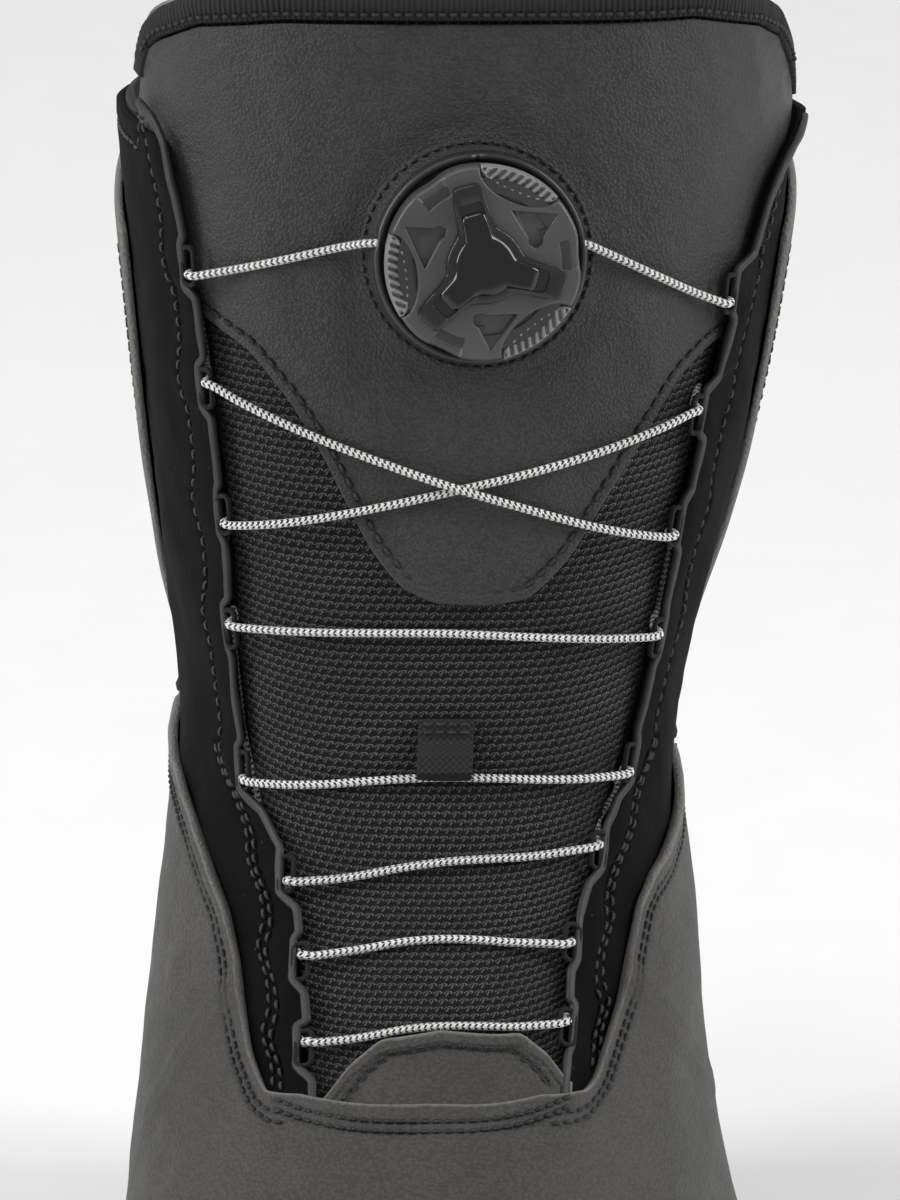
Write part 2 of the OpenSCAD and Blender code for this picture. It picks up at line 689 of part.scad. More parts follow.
// A webbing strap that arches over the back of the liner's top edge.
module liner_pull_loop() {
    strap_w = 7.2;
    strap_t = 1.5;
    arch_r = 10.6;
    color(webbing)
        translate([0, 121 * ky, liner_back_z + arch_r + 0.3]) rotate([90, 0, 0]) linear_extrude(strap_w)
            difference() {
                union() {
                    circle(r = arch_r, $fn = 64);
                    translate([-arch_r, -arch_r]) square([2 * arch_r, arch_r]);
                }
                circle(r = arch_r - strap_t, $fn = 64);
                translate([strap_t - arch_r, -arch_r - 1]) square([2 * (arch_r - strap_t), arch_r + 1]);
            }
}

module insole() {
    color("#6b6f73") slab(0.5, -9 - liner_t, liner_floor + 0.3, liner_floor + 3.8, 48);
}

// Draws a node when it is the one asked for.
outsole();
midsole();
shank();
heel_cushion();
lasting_board();
vamp();
quarter(-1);  // quarter_medial
quarter(1);  // quarter_lateral
toe_bumper();
heel_counter();
front_panel(-1);  // front_panel_medial
front_panel(1);  // front_panel_lateral
cuff(-1);  // cuff_medial
cuff(1);  // cuff_lateral
backstay();
heel_loop();
collar_binding();
shell_lining_lower();
shell_lining_upper();
throat_edge(-1);  // throat_edge_medial
throat_edge(1);  // throat_edge_lateral
lace_guides(-1, GUIDES_MEDIAL);  // lace_guides_medial
lace_guides(1, GUIDES_LATERAL);  // lace_guides_lateral
gusset(-1);  // gusset_medial
gusset(1);  // gusset_lateral
tongue_lower();
tongue_tab();
tongue_upper();
tongue_leather();
tongue_binding();
lace_keeper();
dial_patch();
dial_base();
dial_screw();
dial_pawl_ring();
dial_spool();
spool_lace();
knob_core();
knob_grips();
knob_cover();
lace_upper();
lace_lower();
liner_foot();
liner_cuff();
liner_tongue();
liner_pull_loop();
insole();
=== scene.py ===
# The looks of the snowboard boot: leather, nubuck, knit, lace, dial, sole and inner boot.
# The surface is the same one as the CAD part's, and all sizes in this script are in millimetres
# until a mesh is made.
import math

import bpy
import numpy as np
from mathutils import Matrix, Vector
from mathutils.kdtree import KDTree


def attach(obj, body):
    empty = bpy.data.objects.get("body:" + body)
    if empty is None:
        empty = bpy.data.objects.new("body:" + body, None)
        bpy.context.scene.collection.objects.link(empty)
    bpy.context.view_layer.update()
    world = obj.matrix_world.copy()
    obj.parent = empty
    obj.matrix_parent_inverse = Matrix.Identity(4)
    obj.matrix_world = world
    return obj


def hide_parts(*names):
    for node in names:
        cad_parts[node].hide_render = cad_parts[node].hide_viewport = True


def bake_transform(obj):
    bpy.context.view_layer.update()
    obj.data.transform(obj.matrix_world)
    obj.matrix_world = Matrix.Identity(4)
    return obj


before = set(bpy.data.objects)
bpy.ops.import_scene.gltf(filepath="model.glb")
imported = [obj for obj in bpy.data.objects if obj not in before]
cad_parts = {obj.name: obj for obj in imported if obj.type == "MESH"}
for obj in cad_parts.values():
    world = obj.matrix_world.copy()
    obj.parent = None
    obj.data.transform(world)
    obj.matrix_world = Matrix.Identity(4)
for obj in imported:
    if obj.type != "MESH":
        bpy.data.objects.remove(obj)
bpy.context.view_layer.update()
MM = 0.001
FAR = 99.0  # stands for no edge or seam nearby

# ---- the boot's surface ----
# Girth sections: front y, front z, back y, back z, foot scale, leg half width, leg share, front x.
SECTIONS = np.array([
    [-137, 21, 137, 21, 0.95, 50, 0, -6],
    [-144, 42, 144, 44, 1.00, 50, 0, -6],
    [-139, 68, 144, 68, 1.00, 50, 0, -6],
    [-121, 89, 141, 92, 0.95, 50, 0.05, -5.5],
    [-93, 105, 138, 114, 0.91, 50, 0.2, -5],
    [-65, 121, 135, 134, 0.89, 50, 0.45, -4.5],
    [-40, 141, 132, 154, 0.87, 49.5, 0.75, -4],
    [-18, 166, 131, 176, 0.87, 51, 1, -3],
    [-8, 202, 130, 208, 0.87, 57.5, 1, -1.5],
    [-1, 240, 129, 240, 0.87, 63, 1, 0],
    [5, 278, 128, 270, 0.87, 66.5, 1, 0.5],
    [10, 315, 127, 298, 0.87, 67.5, 1, 1],
])
FOOT_MEDIAL = [54, 57, 58.5, 56.3, 50.7, 44, 40.6, 42.5, 48, 53, 52]
FOOT_LATERAL = [44, 47, 56, 59.5, 61, 57, 50.7, 47.8, 50.3, 54.4, 52]
# How far the two sides swell at each section.
SWELL_MEDIAL = [4, 5, 8, 11, 10.8, 8.6, 5.4, 3.8, 1.7, 0.4, 0, 0]
SWELL_LATERAL = [0, 0, 0, -1.5, -2, -1.4, -2.6, -0.5, 0.7, 1.4, 1.8, 0]
THROAT = [28, 29, 33, 45.5, 48, 50.5, 57, 68]

# Depths of each layer below the outer surface, as low and high faces.
LINING = (-5.3, -2.6)
SKIN = (-2.0, -0.4)
OUTER = (0.1, 1.8)
GUARD = (2.6, 4.5)
CORE = (-5.4, -2.4)
TONGUE_SKIN = (-2.05, -1.05)
LINER = (-14.4, -6.4)


def along(table, at):
    """Catmull-Rom value of a table at positions counted in rows."""
    table = np.asarray(table, float)
    at = np.asarray(at, float)
    ends = [[2 * table[0] - table[1]], table, [2 * table[-1] - table[-2]]]
    padded = np.concatenate(ends)
    i = np.clip(np.floor(at), 0, len(table) - 2).astype(int)
    t = at - i
    if table.ndim == 2:
        t = t[..., None]
    a, b, c, d = (padded[i + k] for k in range(4))
    cubic = (2 * a - 5 * b + 4 * c - d) * t * t + (3 * b - a - 3 * c + d) * t ** 3
    return 0.5 * (2 * b + (c - a) * t + cubic)


def surface(turn, level):
    """Points of the outer surface. turn is the angle from the front, level the place in SECTIONS."""
    turn, level = np.broadcast_arrays(np.asarray(turn, float), np.asarray(level, float))
    turn = (turn + 180) % 360 - 180
    r = along(SECTIONS, level)
    leg = r[..., 6]
    a = np.abs(turn)
    front = a <= 90
    power = np.where(front, 2.8 + 0.6 * leg, 2.7 - 0.4 * leg)
    sine = np.abs(np.sin(np.radians(a)))
    bend = np.sqrt(np.maximum(0, 1 - sine ** power))
    share = (1 - np.where(front, bend, -bend)) / 2
    foot = np.where(turn < 0, along(FOOT_MEDIAL, share * 10), along(FOOT_LATERAL, share * 10))
    swell = np.where(turn < 0, along(SWELL_MEDIAL, level), along(SWELL_LATERAL, level))
    half = foot * r[..., 4] * (1 - leg) + r[..., 5] * leg + swell * sine ** 8
    x = np.sign(turn) * half * sine + r[..., 7] * (1 - share)
    y = r[..., 0] + (r[..., 2] - r[..., 0]) * share
    z = r[..., 1] + (r[..., 3] - r[..., 1]) * share
    return np.stack([x, y, z], -1)


def unit(v):
    return v / np.maximum(np.linalg.norm(v, axis=-1, keepdims=True), 1e-9)


def normal(turn, level):
    turn, level = np.broadcast_arrays(np.asarray(turn, float), np.asarray(level, float))
    sideways = surface(turn + 0.6, level) - surface(turn - 0.6, level)
    upwards = surface(turn, level + 0.05) - surface(turn, level - 0.05)
    return unit(np.cross(sideways, upwards))


def layer(turn, level, depth):
    depth = np.asarray(depth, float)
    return surface(turn, level) + depth[..., None] * normal(turn, level)


def throat(level, side):
    return side * along(THROAT, np.asarray(level, float) - 4) + 3


def mix(a, b, share):
    return a + (b - a) * share


def soft_step(x):
    x = np.clip(x, 0, 1)
    return x * x * (3 - 2 * x)


def bell(x, width):
    return np.exp(-(x / width) ** 2)


def smooth_table(x, xs, ys, spread):
    """Straight-line table lookup, rounded over spread."""
    x = np.asarray(x, float)
    shifts = (-1, -0.5, 0, 0.5, 1)
    weights = (1, 2, 3, 2, 1)
    total = sum(w * np.interp(x + s * spread, xs, ys) for s, w in zip(shifts, weights))
    return total / sum(weights)


def ripple(points, size, seed, count=10):
    """Gentle random waves over points, about size mm long and -1 to 1 high."""
    rng = np.random.default_rng(seed)
    ways = unit(rng.normal(size=(count, 3))) * rng.uniform(0.6, 1.5, (count, 1)) * 2 * math.pi / size
    phases = rng.uniform(0, 2 * math.pi, count)
    total = sum(np.cos(points @ w + p) for w, p in zip(ways, phases))
    return total / math.sqrt(count) / 1.2


# ---- bits of mesh ----
def bit(points, faces, uv=None, **values):
    """A bit of mesh: points in mm, a list of face arrays, and values for each point."""
    n = len(points)
    uv = np.zeros((n, 2)) if uv is None else uv
    return {"points": points, "faces": faces, "uv": uv, "values": values}


def grid_quads(nu, nv, start=0, flip=False, closed=False):
    """Quads of a grid of nu columns and nv rows. closed joins the last column to the first."""
    i = np.arange(nu if closed else nu - 1)
    j = np.arange(nv - 1)
    i, j = np.meshgrid(i, j)
    k = (i + 1) % nu
    quads = np.stack([j * nu + i, j * nu + k, (j + 1) * nu + k, (j + 1) * nu + i], -1)
    quads = quads.reshape(-1, 4)
    return (quads[:, ::-1] if flip else quads) + start


def distances(mid, closed=False):
    """Distance in mm from each grid point to the four sides of the grid."""
    steps_u = np.linalg.norm(np.diff(mid, axis=1), axis=2)
    steps_v = np.linalg.norm(np.diff(mid, axis=0), axis=2)
    across = np.pad(np.cumsum(steps_u, 1), ((0, 0), (1, 0)))
    up = np.pad(np.cumsum(steps_v, 0), ((1, 0), (0, 0)))
    return across, across[:, -1:] - across, up, up[-1:] - up


class Seam:
    """A line of stitches over the surface: places is a list of [turn, level]."""

    def __init__(self, places, depth=0.0, groove=0.35, width=0.6):
        places = np.asarray(places, float)
        spots = np.arange(0, len(places) - 1 + 1e-6, 0.05)
        path = along(places, spots)
        depth = np.broadcast_to(depth, spots.shape)
        self.points = layer(path[:, 0], path[:, 1], depth)
        self.normals = normal(path[:, 0], path[:, 1])
        gaps = np.linalg.norm(np.diff(self.points, axis=0), axis=1)
        self.at = np.concatenate([[0], np.cumsum(gaps)])
        self.groove, self.width = groove, width

    def sample(self, s):
        p = np.stack([np.interp(s, self.at, self.points[:, k]) for k in range(3)], -1)
        n = np.stack([np.interp(s, self.at, self.normals[:, k]) for k in range(3)], -1)
        return p, unit(n)


def seam_distance(points, seams):
    """Distance to the nearest seam for each point, and how deep it presses the surface there."""
    flat = points.reshape(-1, 3)
    near = np.full(len(flat), FAR)
    press = np.zeros(len(flat))
    for seam in seams:
        tree = KDTree(len(seam.points))
        for i, p in enumerate(seam.points):
            tree.insert(p, i)
        tree.balance()
        found = np.array([tree.find(p)[2] for p in flat])
        near = np.minimum(near, found)
        press = np.maximum(press, seam.groove * bell(found, seam.width))
    return near.reshape(points.shape[:-1]), press.reshape(points.shape[:-1])


def twice(a):
    return np.concatenate([a.ravel(), a.ravel()])


def nu_mid(grid):
    return grid.shape[1] // 2


def sheet(place, us, qs, depths, round_r=0.7, sides="lrbt", both=False, relief=None, seams=(), lift=None):
    """A sheet of material on the surface, closed all round, with rounded edges.
    place(u, q) gives turn and level, relief changes the outer face, and lift moves both faces."""
    u, q = np.meshgrid(us, qs)
    turn, level = place(u, q)
    low, high = depths
    base, out = surface(turn, level), normal(turn, level)
    mid = base + out * high
    shift = lift(turn, level) if lift else 0 * turn
    mid = mid + out * shift[..., None]
    left, right, bottom, top = distances(mid)
    reach = {"l": left, "r": right, "b": bottom, "t": top}
    edge = np.full(left.shape, FAR)
    for side in sides:
        edge = np.minimum(edge, reach[side])
    inside = np.clip(edge, 0, round_r)
    drop = round_r - np.sqrt(round_r ** 2 - (round_r - inside) ** 2)
    outer_h = high - drop
    inner_h = low + (drop if both else 0 * drop)
    seam = np.full(left.shape, FAR)
    if seams:
        seam, press = seam_distance(mid, seams)
        outer_h = outer_h - press
    flat = np.stack([left - left[:, nu_mid(left)][:, None],
                     np.broadcast_to(bottom[:, nu_mid(left)][:, None], left.shape)], -1)
    if relief:
        outer_h = outer_h + relief(turn, level, mid, edge, flat)
    outer_h, inner_h = outer_h + shift, inner_h + shift
    nv, nu = u.shape
    upper = (base + out * outer_h[..., None]).reshape(-1, 3)
    lower = (base + out * inner_h[..., None]).reshape(-1, 3)
    flip = turn[nv // 2, -1] < turn[nv // 2, 0]
    half = nu * nv
    uv = flat.reshape(-1, 2)
    rim = rim_quads(nu, nv, half, flip)
    faces = [grid_quads(nu, nv, 0, flip), grid_quads(nu, nv, half, not flip), rim]
    made = bit(np.concatenate([upper, lower]), faces, np.concatenate([uv, uv]),
               edge=twice(edge), seam=twice(seam))
    made["turn"], made["level"] = twice(turn), twice(level)
    return made


def rim_quads(nu, nv, half, flip):
    """Quads that join the outer face of a sheet to its inner face, all round."""
    bottom = np.arange(nu)
    right = np.arange(nv) * nu + nu - 1
    top = (nv - 1) * nu + np.arange(nu)[::-1]
    left = np.arange(nv)[::-1] * nu
    loop = np.concatenate([bottom[:-1], right[:-1], top[:-1], left[:-1]])
    after = np.roll(loop, -1)
    quads = np.stack([loop, loop + half, after + half, after], -1)
    return quads[:, ::-1] if flip else quads


def ring_sheet(low_level, high_level, n, rows, depths, round_r=0.7, both=False, relief=None):
    """A sheet right round the boot between two levels."""
    turns = -180 + 360 * np.arange(n) / n
    turn, share = np.meshgrid(turns, rows)
    level = mix(low_level, high_level, share)
    base, out = surface(turn, level), normal(turn, level)
    low, high = depths
    up = distances(base)[2]
    edge = np.minimum(up, up[-1:] - up)
    inside = np.clip(edge, 0, round_r)
    drop = round_r - np.sqrt(round_r ** 2 - (round_r - inside) ** 2)
    outer_h = high - drop + (relief(turn, level, base, edge) if relief else 0)
    inner_h = low + (drop if both else 0 * drop)
    m = len(rows)
    half = n * m
    points = np.concatenate([(base + out * h[..., None]).reshape(-1, 3) for h in (outer_h, inner_h)])
    i = np.arange(n)
    k = (i + 1) % n
    rims = [np.stack([i + half, k + half, k, i], -1),
            np.stack([i, k, k + half, i + half], -1) + (m - 1) * n]
    faces = [grid_quads(n, m, 0, False, True), grid_quads(n, m, half, True, True)] + rims
    uv = np.stack([distances(base)[0], up], -1).reshape(-1, 2)
    return bit(points, faces, np.concatenate([uv, uv]), edge=twice(edge))


def sweep(path, side, up, profile, closed=False, scale=None):
    """A closed profile, as [side, up] pairs in mm, carried along a path."""
    path = np.asarray(path, float)
    profile = np.asarray(profile, float)
    n, m = len(path), len(profile)
    scale = np.ones(n) if scale is None else scale
    spread = profile[None] * scale[:, None, None]
    points = path[:, None] + spread[..., :1] * side[:, None] + spread[..., 1:] * up[:, None]
    gaps = np.linalg.norm(np.diff(path, axis=0), axis=1)
    s = np.concatenate([[0], np.cumsum(gaps)])
    round_s = np.arange(m) / m
    uv = np.stack(np.meshgrid(round_s, s), -1).reshape(-1, 2)
    rows = n + 1 if closed else n
    quads = grid_quads(m, rows, 0, False, True) % (n * m)
    faces = [quads]
    if not closed:
        faces += [np.arange(m)[None, ::-1], (np.arange(m) + (n - 1) * m)[None]]
    return bit(points.reshape(-1, 3), faces, uv, edge=np.full(n * m, FAR))


def tangents(path, closed=False):
    if closed:
        return unit(np.roll(path, -1, 0) - np.roll(path, 1, 0))
    return unit(np.gradient(path, axis=0))


def carried(path, first):
    """A frame that follows a path without twisting."""
    ways = tangents(path)
    side = [unit(first - (first @ ways[0]) * ways[0])]
    for way in ways[1:]:
        v = side[-1] - (side[-1] @ way) * way
        side.append(unit(v))
    side = np.array(side)
    return side, np.cross(ways, side)


def tube(path, radius, sides=14, first=(0, 0.1, 1)):
    side, up = carried(path, np.asarray(first, float))
    angles = 2 * math.pi * np.arange(sides) / sides
    profile = radius * np.stack([np.cos(angles), np.sin(angles)], -1)
    return sweep(path, side, up, profile)


def box_profile(width, height, r, n=4):
    """Outline of a rounded rectangle, centred."""
    out = []
    for cx, cy, start in ((1, -1, -90), (1, 1, 0), (-1, 1, 90), (-1, -1, 180)):
        for k in range(n + 1):
            a = math.radians(start + 90 * k / n)
            x = cx * (width / 2 - r) + r * math.cos(a)
            y = cy * (height / 2 - r) + r * math.sin(a)
            out.append([x, y])
    return np.array(out)


def stitches(seam, pitch, gap, radius, height):
    """Short stitches along a seam, each dipping into the surface at its ends."""
    total = seam.at[-1]
    n = max(2, int(total / pitch))
    centres = (np.arange(n) + 0.5) * total / n
    t = np.linspace(-1, 1, 7)
    s = centres[:, None] + t[None] * (total / n - gap) / 2
    p, up = seam.sample(s)
    ahead, _ = seam.sample(s + 0.3)
    behind, _ = seam.sample(s - 0.3)
    way = unit(ahead - behind)
    side = np.cross(way, up)
    rise = height + radius * (1.0 - 1.7 * t ** 4)
    thick = radius * np.sqrt(1.02 - t ** 4 * 0.85)
    k = 2 * math.pi * np.arange(6) / 6
    rise, thick = rise[None, :, None, None], thick[None, :, None, None]
    ring = (p[:, :, None] + up[:, :, None] * (rise + thick * np.cos(k)[:, None])
            + side[:, :, None] * (thick * np.sin(k)[:, None] * 1.15))
    points = ring.reshape(-1, 3)
    one = grid_quads(6, 7, 0, False, True)
    quads = (one[None] + 42 * np.arange(n)[:, None, None]).reshape(-1, 4)
    caps = np.concatenate([np.arange(6)[None, ::-1] + 42 * np.arange(n)[:, None],
                           np.arange(36, 42)[None] + 42 * np.arange(n)[:, None]])
    uv = np.stack([np.tile(np.arange(6) / 6, n * 7), np.repeat(s.ravel(), 6)], -1)
    return bit(points, [quads, caps], uv)


# ---- objects ----
def merged(bits):
    """Several bits as one, with their values kept side by side."""
    names = sorted({k for b in bits for k in b["values"]})
    points, uv, faces, start = [], [], {}, 0
    values = {k: [] for k in names}
    for b in bits:
        n = len(b["points"])
        points.append(b["points"])
        uv.append(b["uv"])
        for k in names:
            values[k].append(b["values"].get(k, np.full(n, FAR)))
        for f in b["faces"]:
            faces.setdefault(f.shape[1], []).append(f + start)
        start += n
    groups = [np.concatenate(g) for g in faces.values()]
    values = {k: np.concatenate(v) for k, v in values.items()}
    return np.concatenate(points), np.concatenate(uv), groups, values


def build(name, bits, material, body=None, stands_for=(), sharp=None):
    """One visible piece made of bits, riding on a CAD body."""
    points, uv, groups, values = merged(bits if isinstance(bits, list) else [bits])
    name = name + "_piece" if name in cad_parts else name
    mesh = bpy.data.meshes.new(name)
    corner = np.concatenate([g.ravel() for g in groups]).astype(np.int32)
    counts = np.concatenate([np.full(len(g), g.shape[1]) for g in groups])
    starts = np.concatenate([[0], np.cumsum(counts)[:-1]]).astype(np.int32)
    mesh.vertices.add(len(points))
    mesh.vertices.foreach_set("co", (points * MM).astype(np.float32).ravel())
    mesh.loops.add(len(corner))
    mesh.loops.foreach_set("vertex_index", corner)
    mesh.polygons.add(len(counts))
    mesh.polygons.foreach_set("loop_start", starts)
    mesh.polygons.foreach_set("use_smooth", np.ones(len(counts), bool))
    mesh.update(calc_edges=True)
    mesh.validate()
    layer_uv = mesh.uv_layers.new(name="UVMap")
    layer_uv.data.foreach_set("uv", uv[corner].astype(np.float32).ravel())
    rest = mesh.attributes.new("rest", "FLOAT_VECTOR", "POINT")
    rest.data.foreach_set("vector", points.astype(np.float32).ravel())
    for k, v in values.items():
        attribute = mesh.attributes.new(k, "FLOAT", "POINT")
        attribute.data.foreach_set("value", v.astype(np.float32))
    mesh.materials.append(material)
    if sharp:
        mesh.set_sharp_from_angle(angle=math.radians(sharp))
    piece = bpy.data.objects.new(name, mesh)
    bpy.context.scene.collection.objects.link(piece)
    if body:
        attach(piece, body)
    if stands_for:
        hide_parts(*([stands_for] if isinstance(stands_for, str) else stands_for))
    return piece


def bend_with(piece):
    """Bakes the piece's place into its mesh. It is not bent with any body."""
    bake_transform(piece)
    return piece


# ---- materials ----
class Paint:
    """Builds one material out of shader nodes."""

    def __init__(self, name, plain=False):
        """plain is for CAD nodes, which have no values of their own."""
        self.mat = bpy.data.materials.new(name)
        self.mat.use_nodes = True
        self.tree = self.mat.node_tree
        self.shader = self.tree.nodes["Principled BSDF"]
        if plain:
            at = self.tree.nodes.new("ShaderNodeTexCoord").outputs["Object"]
            self.place = self.scaled(at, 1000, 1000, 1000)
        else:
            self.place = self.attribute("rest", "Vector")

    def attribute(self, name, output="Fac"):
        node = self.tree.nodes.new("ShaderNodeAttribute")
        node.attribute_name = name
        return node.outputs[output]

    def uv(self):
        return self.tree.nodes.new("ShaderNodeTexCoord").outputs["UV"]

    def put(self, socket, value):
        if isinstance(value, bpy.types.NodeSocket):
            self.tree.links.new(value, socket)
        elif isinstance(value, (tuple, list)) and len(value) == 3 and socket.type == "RGBA":
            socket.default_value = (*value, 1)
        else:
            socket.default_value = value

    def math(self, op, a, b=None, clamp=False):
        node = self.tree.nodes.new("ShaderNodeMath")
        node.operation = op
        node.use_clamp = clamp
        self.put(node.inputs[0], a)
        if b is not None:
            self.put(node.inputs[1], b)
        return node.outputs[0]

    def add(self, *terms):
        total = terms[0]
        for term in terms[1:]:
            total = self.math("ADD", total, term)
        return total

    def times(self, a, b):
        return self.math("MULTIPLY", a, b)

    def span(self, value, low, high, to_low=0.0, to_high=1.0):
        node = self.tree.nodes.new("ShaderNodeMapRange")
        node.interpolation_type = "SMOOTHSTEP"
        for key, number in (("From Min", low), ("From Max", high), ("To Min", to_low), ("To Max", to_high)):
            node.inputs[key].default_value = number
        self.put(node.inputs["Value"], value)
        return node.outputs[0]

    def scaled(self, vector, x, y, z=1.0):
        node = self.tree.nodes.new("ShaderNodeMapping")
        self.put(node.inputs["Vector"], vector)
        node.inputs["Scale"].default_value = (x, y, z)
        return node.outputs[0]

    def noise(self, size, detail=3.0, rough=0.5, place=None, warp=0.0):
        node = self.tree.nodes.new("ShaderNodeTexNoise")
        self.put(node.inputs["Vector"], self.place if place is None else place)
        node.inputs["Scale"].default_value = 1 / size
        node.inputs["Detail"].default_value = detail
        node.inputs["Roughness"].default_value = rough
        node.inputs["Distortion"].default_value = warp
        return node.outputs[0]

    def cells(self, size, place=None, feature="F1", random=1.0):
        node = self.tree.nodes.new("ShaderNodeTexVoronoi")
        node.feature = feature
        self.put(node.inputs["Vector"], self.place if place is None else place)
        node.inputs["Scale"].default_value = 1 / size
        node.inputs["Randomness"].default_value = random
        return node.outputs["Distance"]

    def parts(self, vector):
        node = self.tree.nodes.new("ShaderNodeSeparateXYZ")
        self.put(node.inputs[0], vector)
        return node.outputs[0], node.outputs[1], node.outputs[2]

    def joined(self, x, y, z=0.0):
        node = self.tree.nodes.new("ShaderNodeCombineXYZ")
        for socket, value in zip(node.inputs, (x, y, z)):
            self.put(socket, value)
        return node.outputs[0]

    def mixed(self, share, a, b):
        node = self.tree.nodes.new("ShaderNodeMix")
        node.data_type = "RGBA"
        self.put(node.inputs[0], share)
        self.put(node.inputs[6], a)
        self.put(node.inputs[7], b)
        return node.outputs[2]

    def bump(self, height, distance, strength=1.0, under=None):
        node = self.tree.nodes.new("ShaderNodeBump")
        node.inputs["Strength"].default_value = strength
        node.inputs["Distance"].default_value = distance * MM
        self.put(node.inputs["Height"], height)
        if under is not None:
            self.put(node.inputs["Normal"], under)
        return node.outputs[0]

    def finish(self, color, rough, normal=None, sheen=0.0, sheen_tint=(1, 1, 1), coat=0.0,
               metal=0.0, spec=0.5):
        s = self.shader.inputs
        self.put(s["Base Color"], color)
        self.put(s["Roughness"], rough)
        if normal is not None:
            self.put(s["Normal"], normal)
        s["Sheen Weight"].default_value = sheen
        s["Sheen Roughness"].default_value = 0.45
        s["Sheen Tint"].default_value = (*sheen_tint, 1)
        s["Coat Weight"].default_value = coat
        s["Coat Roughness"].default_value = 0.12
        s["Metallic"].default_value = metal
        s["Specular IOR Level"].default_value = spec
        return self.mat


def shade(color, factor):
    return tuple(c * factor for c in color)


def leather_paint(name, color, raw, grain=0.85, rough=0.5, wrinkle=0.35, raw_width=0.9, sheen=0.03):
    """Grained leather with fine wrinkles. Its cut edge shows the raw colour."""
    p = Paint(name)
    broad = p.noise(26, 3, 0.55)
    mottle = p.noise(3.2, 4, 0.6)
    cracks = p.span(p.cells(grain, feature="F1"), 0.15, 0.75)
    fine = p.noise(0.35, 3, 0.65)
    folds = p.noise(5.5, 3, 0.5, place=p.scaled(p.place, 0.55, 0.55, 1.5), warp=0.6)
    base = p.mixed(p.span(broad, 0.3, 0.7), shade(color, 0.86), shade(color, 1.14))
    base = p.mixed(p.times(p.span(mottle, 0.42, 0.75), 0.4), base, shade(color, 1.4))
    base = p.mixed(p.times(p.span(fine, 0.45, 0.75), 0.55), base, shade(color, 1.9))
    base = p.mixed(p.times(p.span(cracks, 0.5, 1.0), 0.45), base, shade(color, 0.4))
    from_edge = p.add(p.attribute("edge"), p.times(p.noise(1.3, 3), 0.8))
    cut = p.span(from_edge, raw_width * 0.6, raw_width + 0.7, 1, 0)
    base = p.mixed(p.times(cut, 0.9), base, raw)
    # Painted shade: the leather is darker along each seam, where its pressed groove lies.
    seam_shade = p.span(p.attribute("seam"), 0.25, 0.75, 1, 0)
    base = p.mixed(p.times(seam_shade, 0.55), base, shade(color, 0.35))
    normal_in = p.bump(folds, 1.0, wrinkle)
    normal_in = p.bump(p.add(p.times(cracks, -0.6), p.times(fine, 0.5)), 0.22, 0.85, normal_in)
    roughness = p.span(p.add(p.times(mottle, 0.6), p.times(fine, 0.4)), 0.2, 0.8, rough - 0.09, rough + 0.13)
    return p.finish(base, roughness, normal_in, sheen=sheen, spec=0.34)


def nubuck_paint(name, color, dust):
    """Matt brushed leather with a soft nap, a little dust and paler worn edges."""
    p = Paint(name)
    broad = p.noise(22, 4, 0.6)
    nap = p.noise(0.5, 4, 0.7)
    brushed = p.noise(2.6, 3, 0.6, place=p.scaled(p.place, 1, 1, 0.35))
    specks = p.span(p.cells(5.5), 0.0, 0.075, 1, 0)
    base = p.mixed(p.span(broad, 0.3, 0.7), shade(color, 0.8), shade(color, 1.2))
    base = p.mixed(p.times(p.span(brushed, 0.45, 0.8), 0.4), base, shade(color, 1.6))
    base = p.mixed(p.times(p.span(nap, 0.45, 0.85), 0.4), base, shade(color, 1.9))
    worn = p.span(p.add(p.attribute("edge"), p.times(p.noise(1.6, 3), 1.1)), 0.7, 1.5, 1, 0)
    base = p.mixed(p.times(worn, 0.4), base, shade(color, 3.2))
    base = p.mixed(p.times(specks, 0.55), base, dust)
    # Painted shade: the nubuck is darker along each seam, where its pressed groove lies.
    seam_shade = p.span(p.attribute("seam"), 0.25, 0.8, 1, 0)
    base = p.mixed(p.times(seam_shade, 0.7), base, shade(color, 0.4))
    normal_in = p.bump(brushed, 0.5, 0.25)
    normal_in = p.bump(nap, 0.1, 0.55, normal_in)
    return p.finish(base, 0.86, normal_in, sheen=0.012, sheen_tint=(0.75, 0.75, 0.78), spec=0.05)


def knit_height(p, place):
    """Height, 0 to 1, of a rib knit: rows of leaning loops, with low gaps under and between them, which
    knit_paint colours as painted shade.
    """
    u, v, _ = p.parts(place)
    row = p.math("DIVIDE", v, KNIT[1])
    odd = p.math("MODULO", p.math("FLOOR", row), 2.0)
    column = p.add(p.math("DIVIDE", u, KNIT[0]), p.times(odd, 0.5))
    cu = p.math("SUBTRACT", p.math("FRACT", column), 0.5)
    cv = p.math("SUBTRACT", p.math("FRACT", row), 0.5)
    x = p.math("DIVIDE", p.add(cu, p.times(cv, -0.45)), 0.5)
    y = p.math("DIVIDE", p.math("SUBTRACT", cv, 0.04), 0.34)
    r = p.math("SQRT", p.add(p.times(x, x), p.times(y, y)))
    off = p.math("DIVIDE", p.math("SUBTRACT", r, 0.72), 0.24)
    ring = p.math("EXPONENT", p.times(p.times(off, off), -1.0))
    upper = p.span(cv, -0.25, 0.3, 0.25, 1)
    strand = p.math("EXPONENT", p.times(p.times(x, x), -9.0))
    reach = p.span(p.math("ABSOLUTE", p.add(cv, 0.12)), 0.22, 0.38, 0.6, 0)
    return p.math("MAXIMUM", p.times(ring, upper), p.times(strand, reach))


KNIT = (1.95, 1.62)


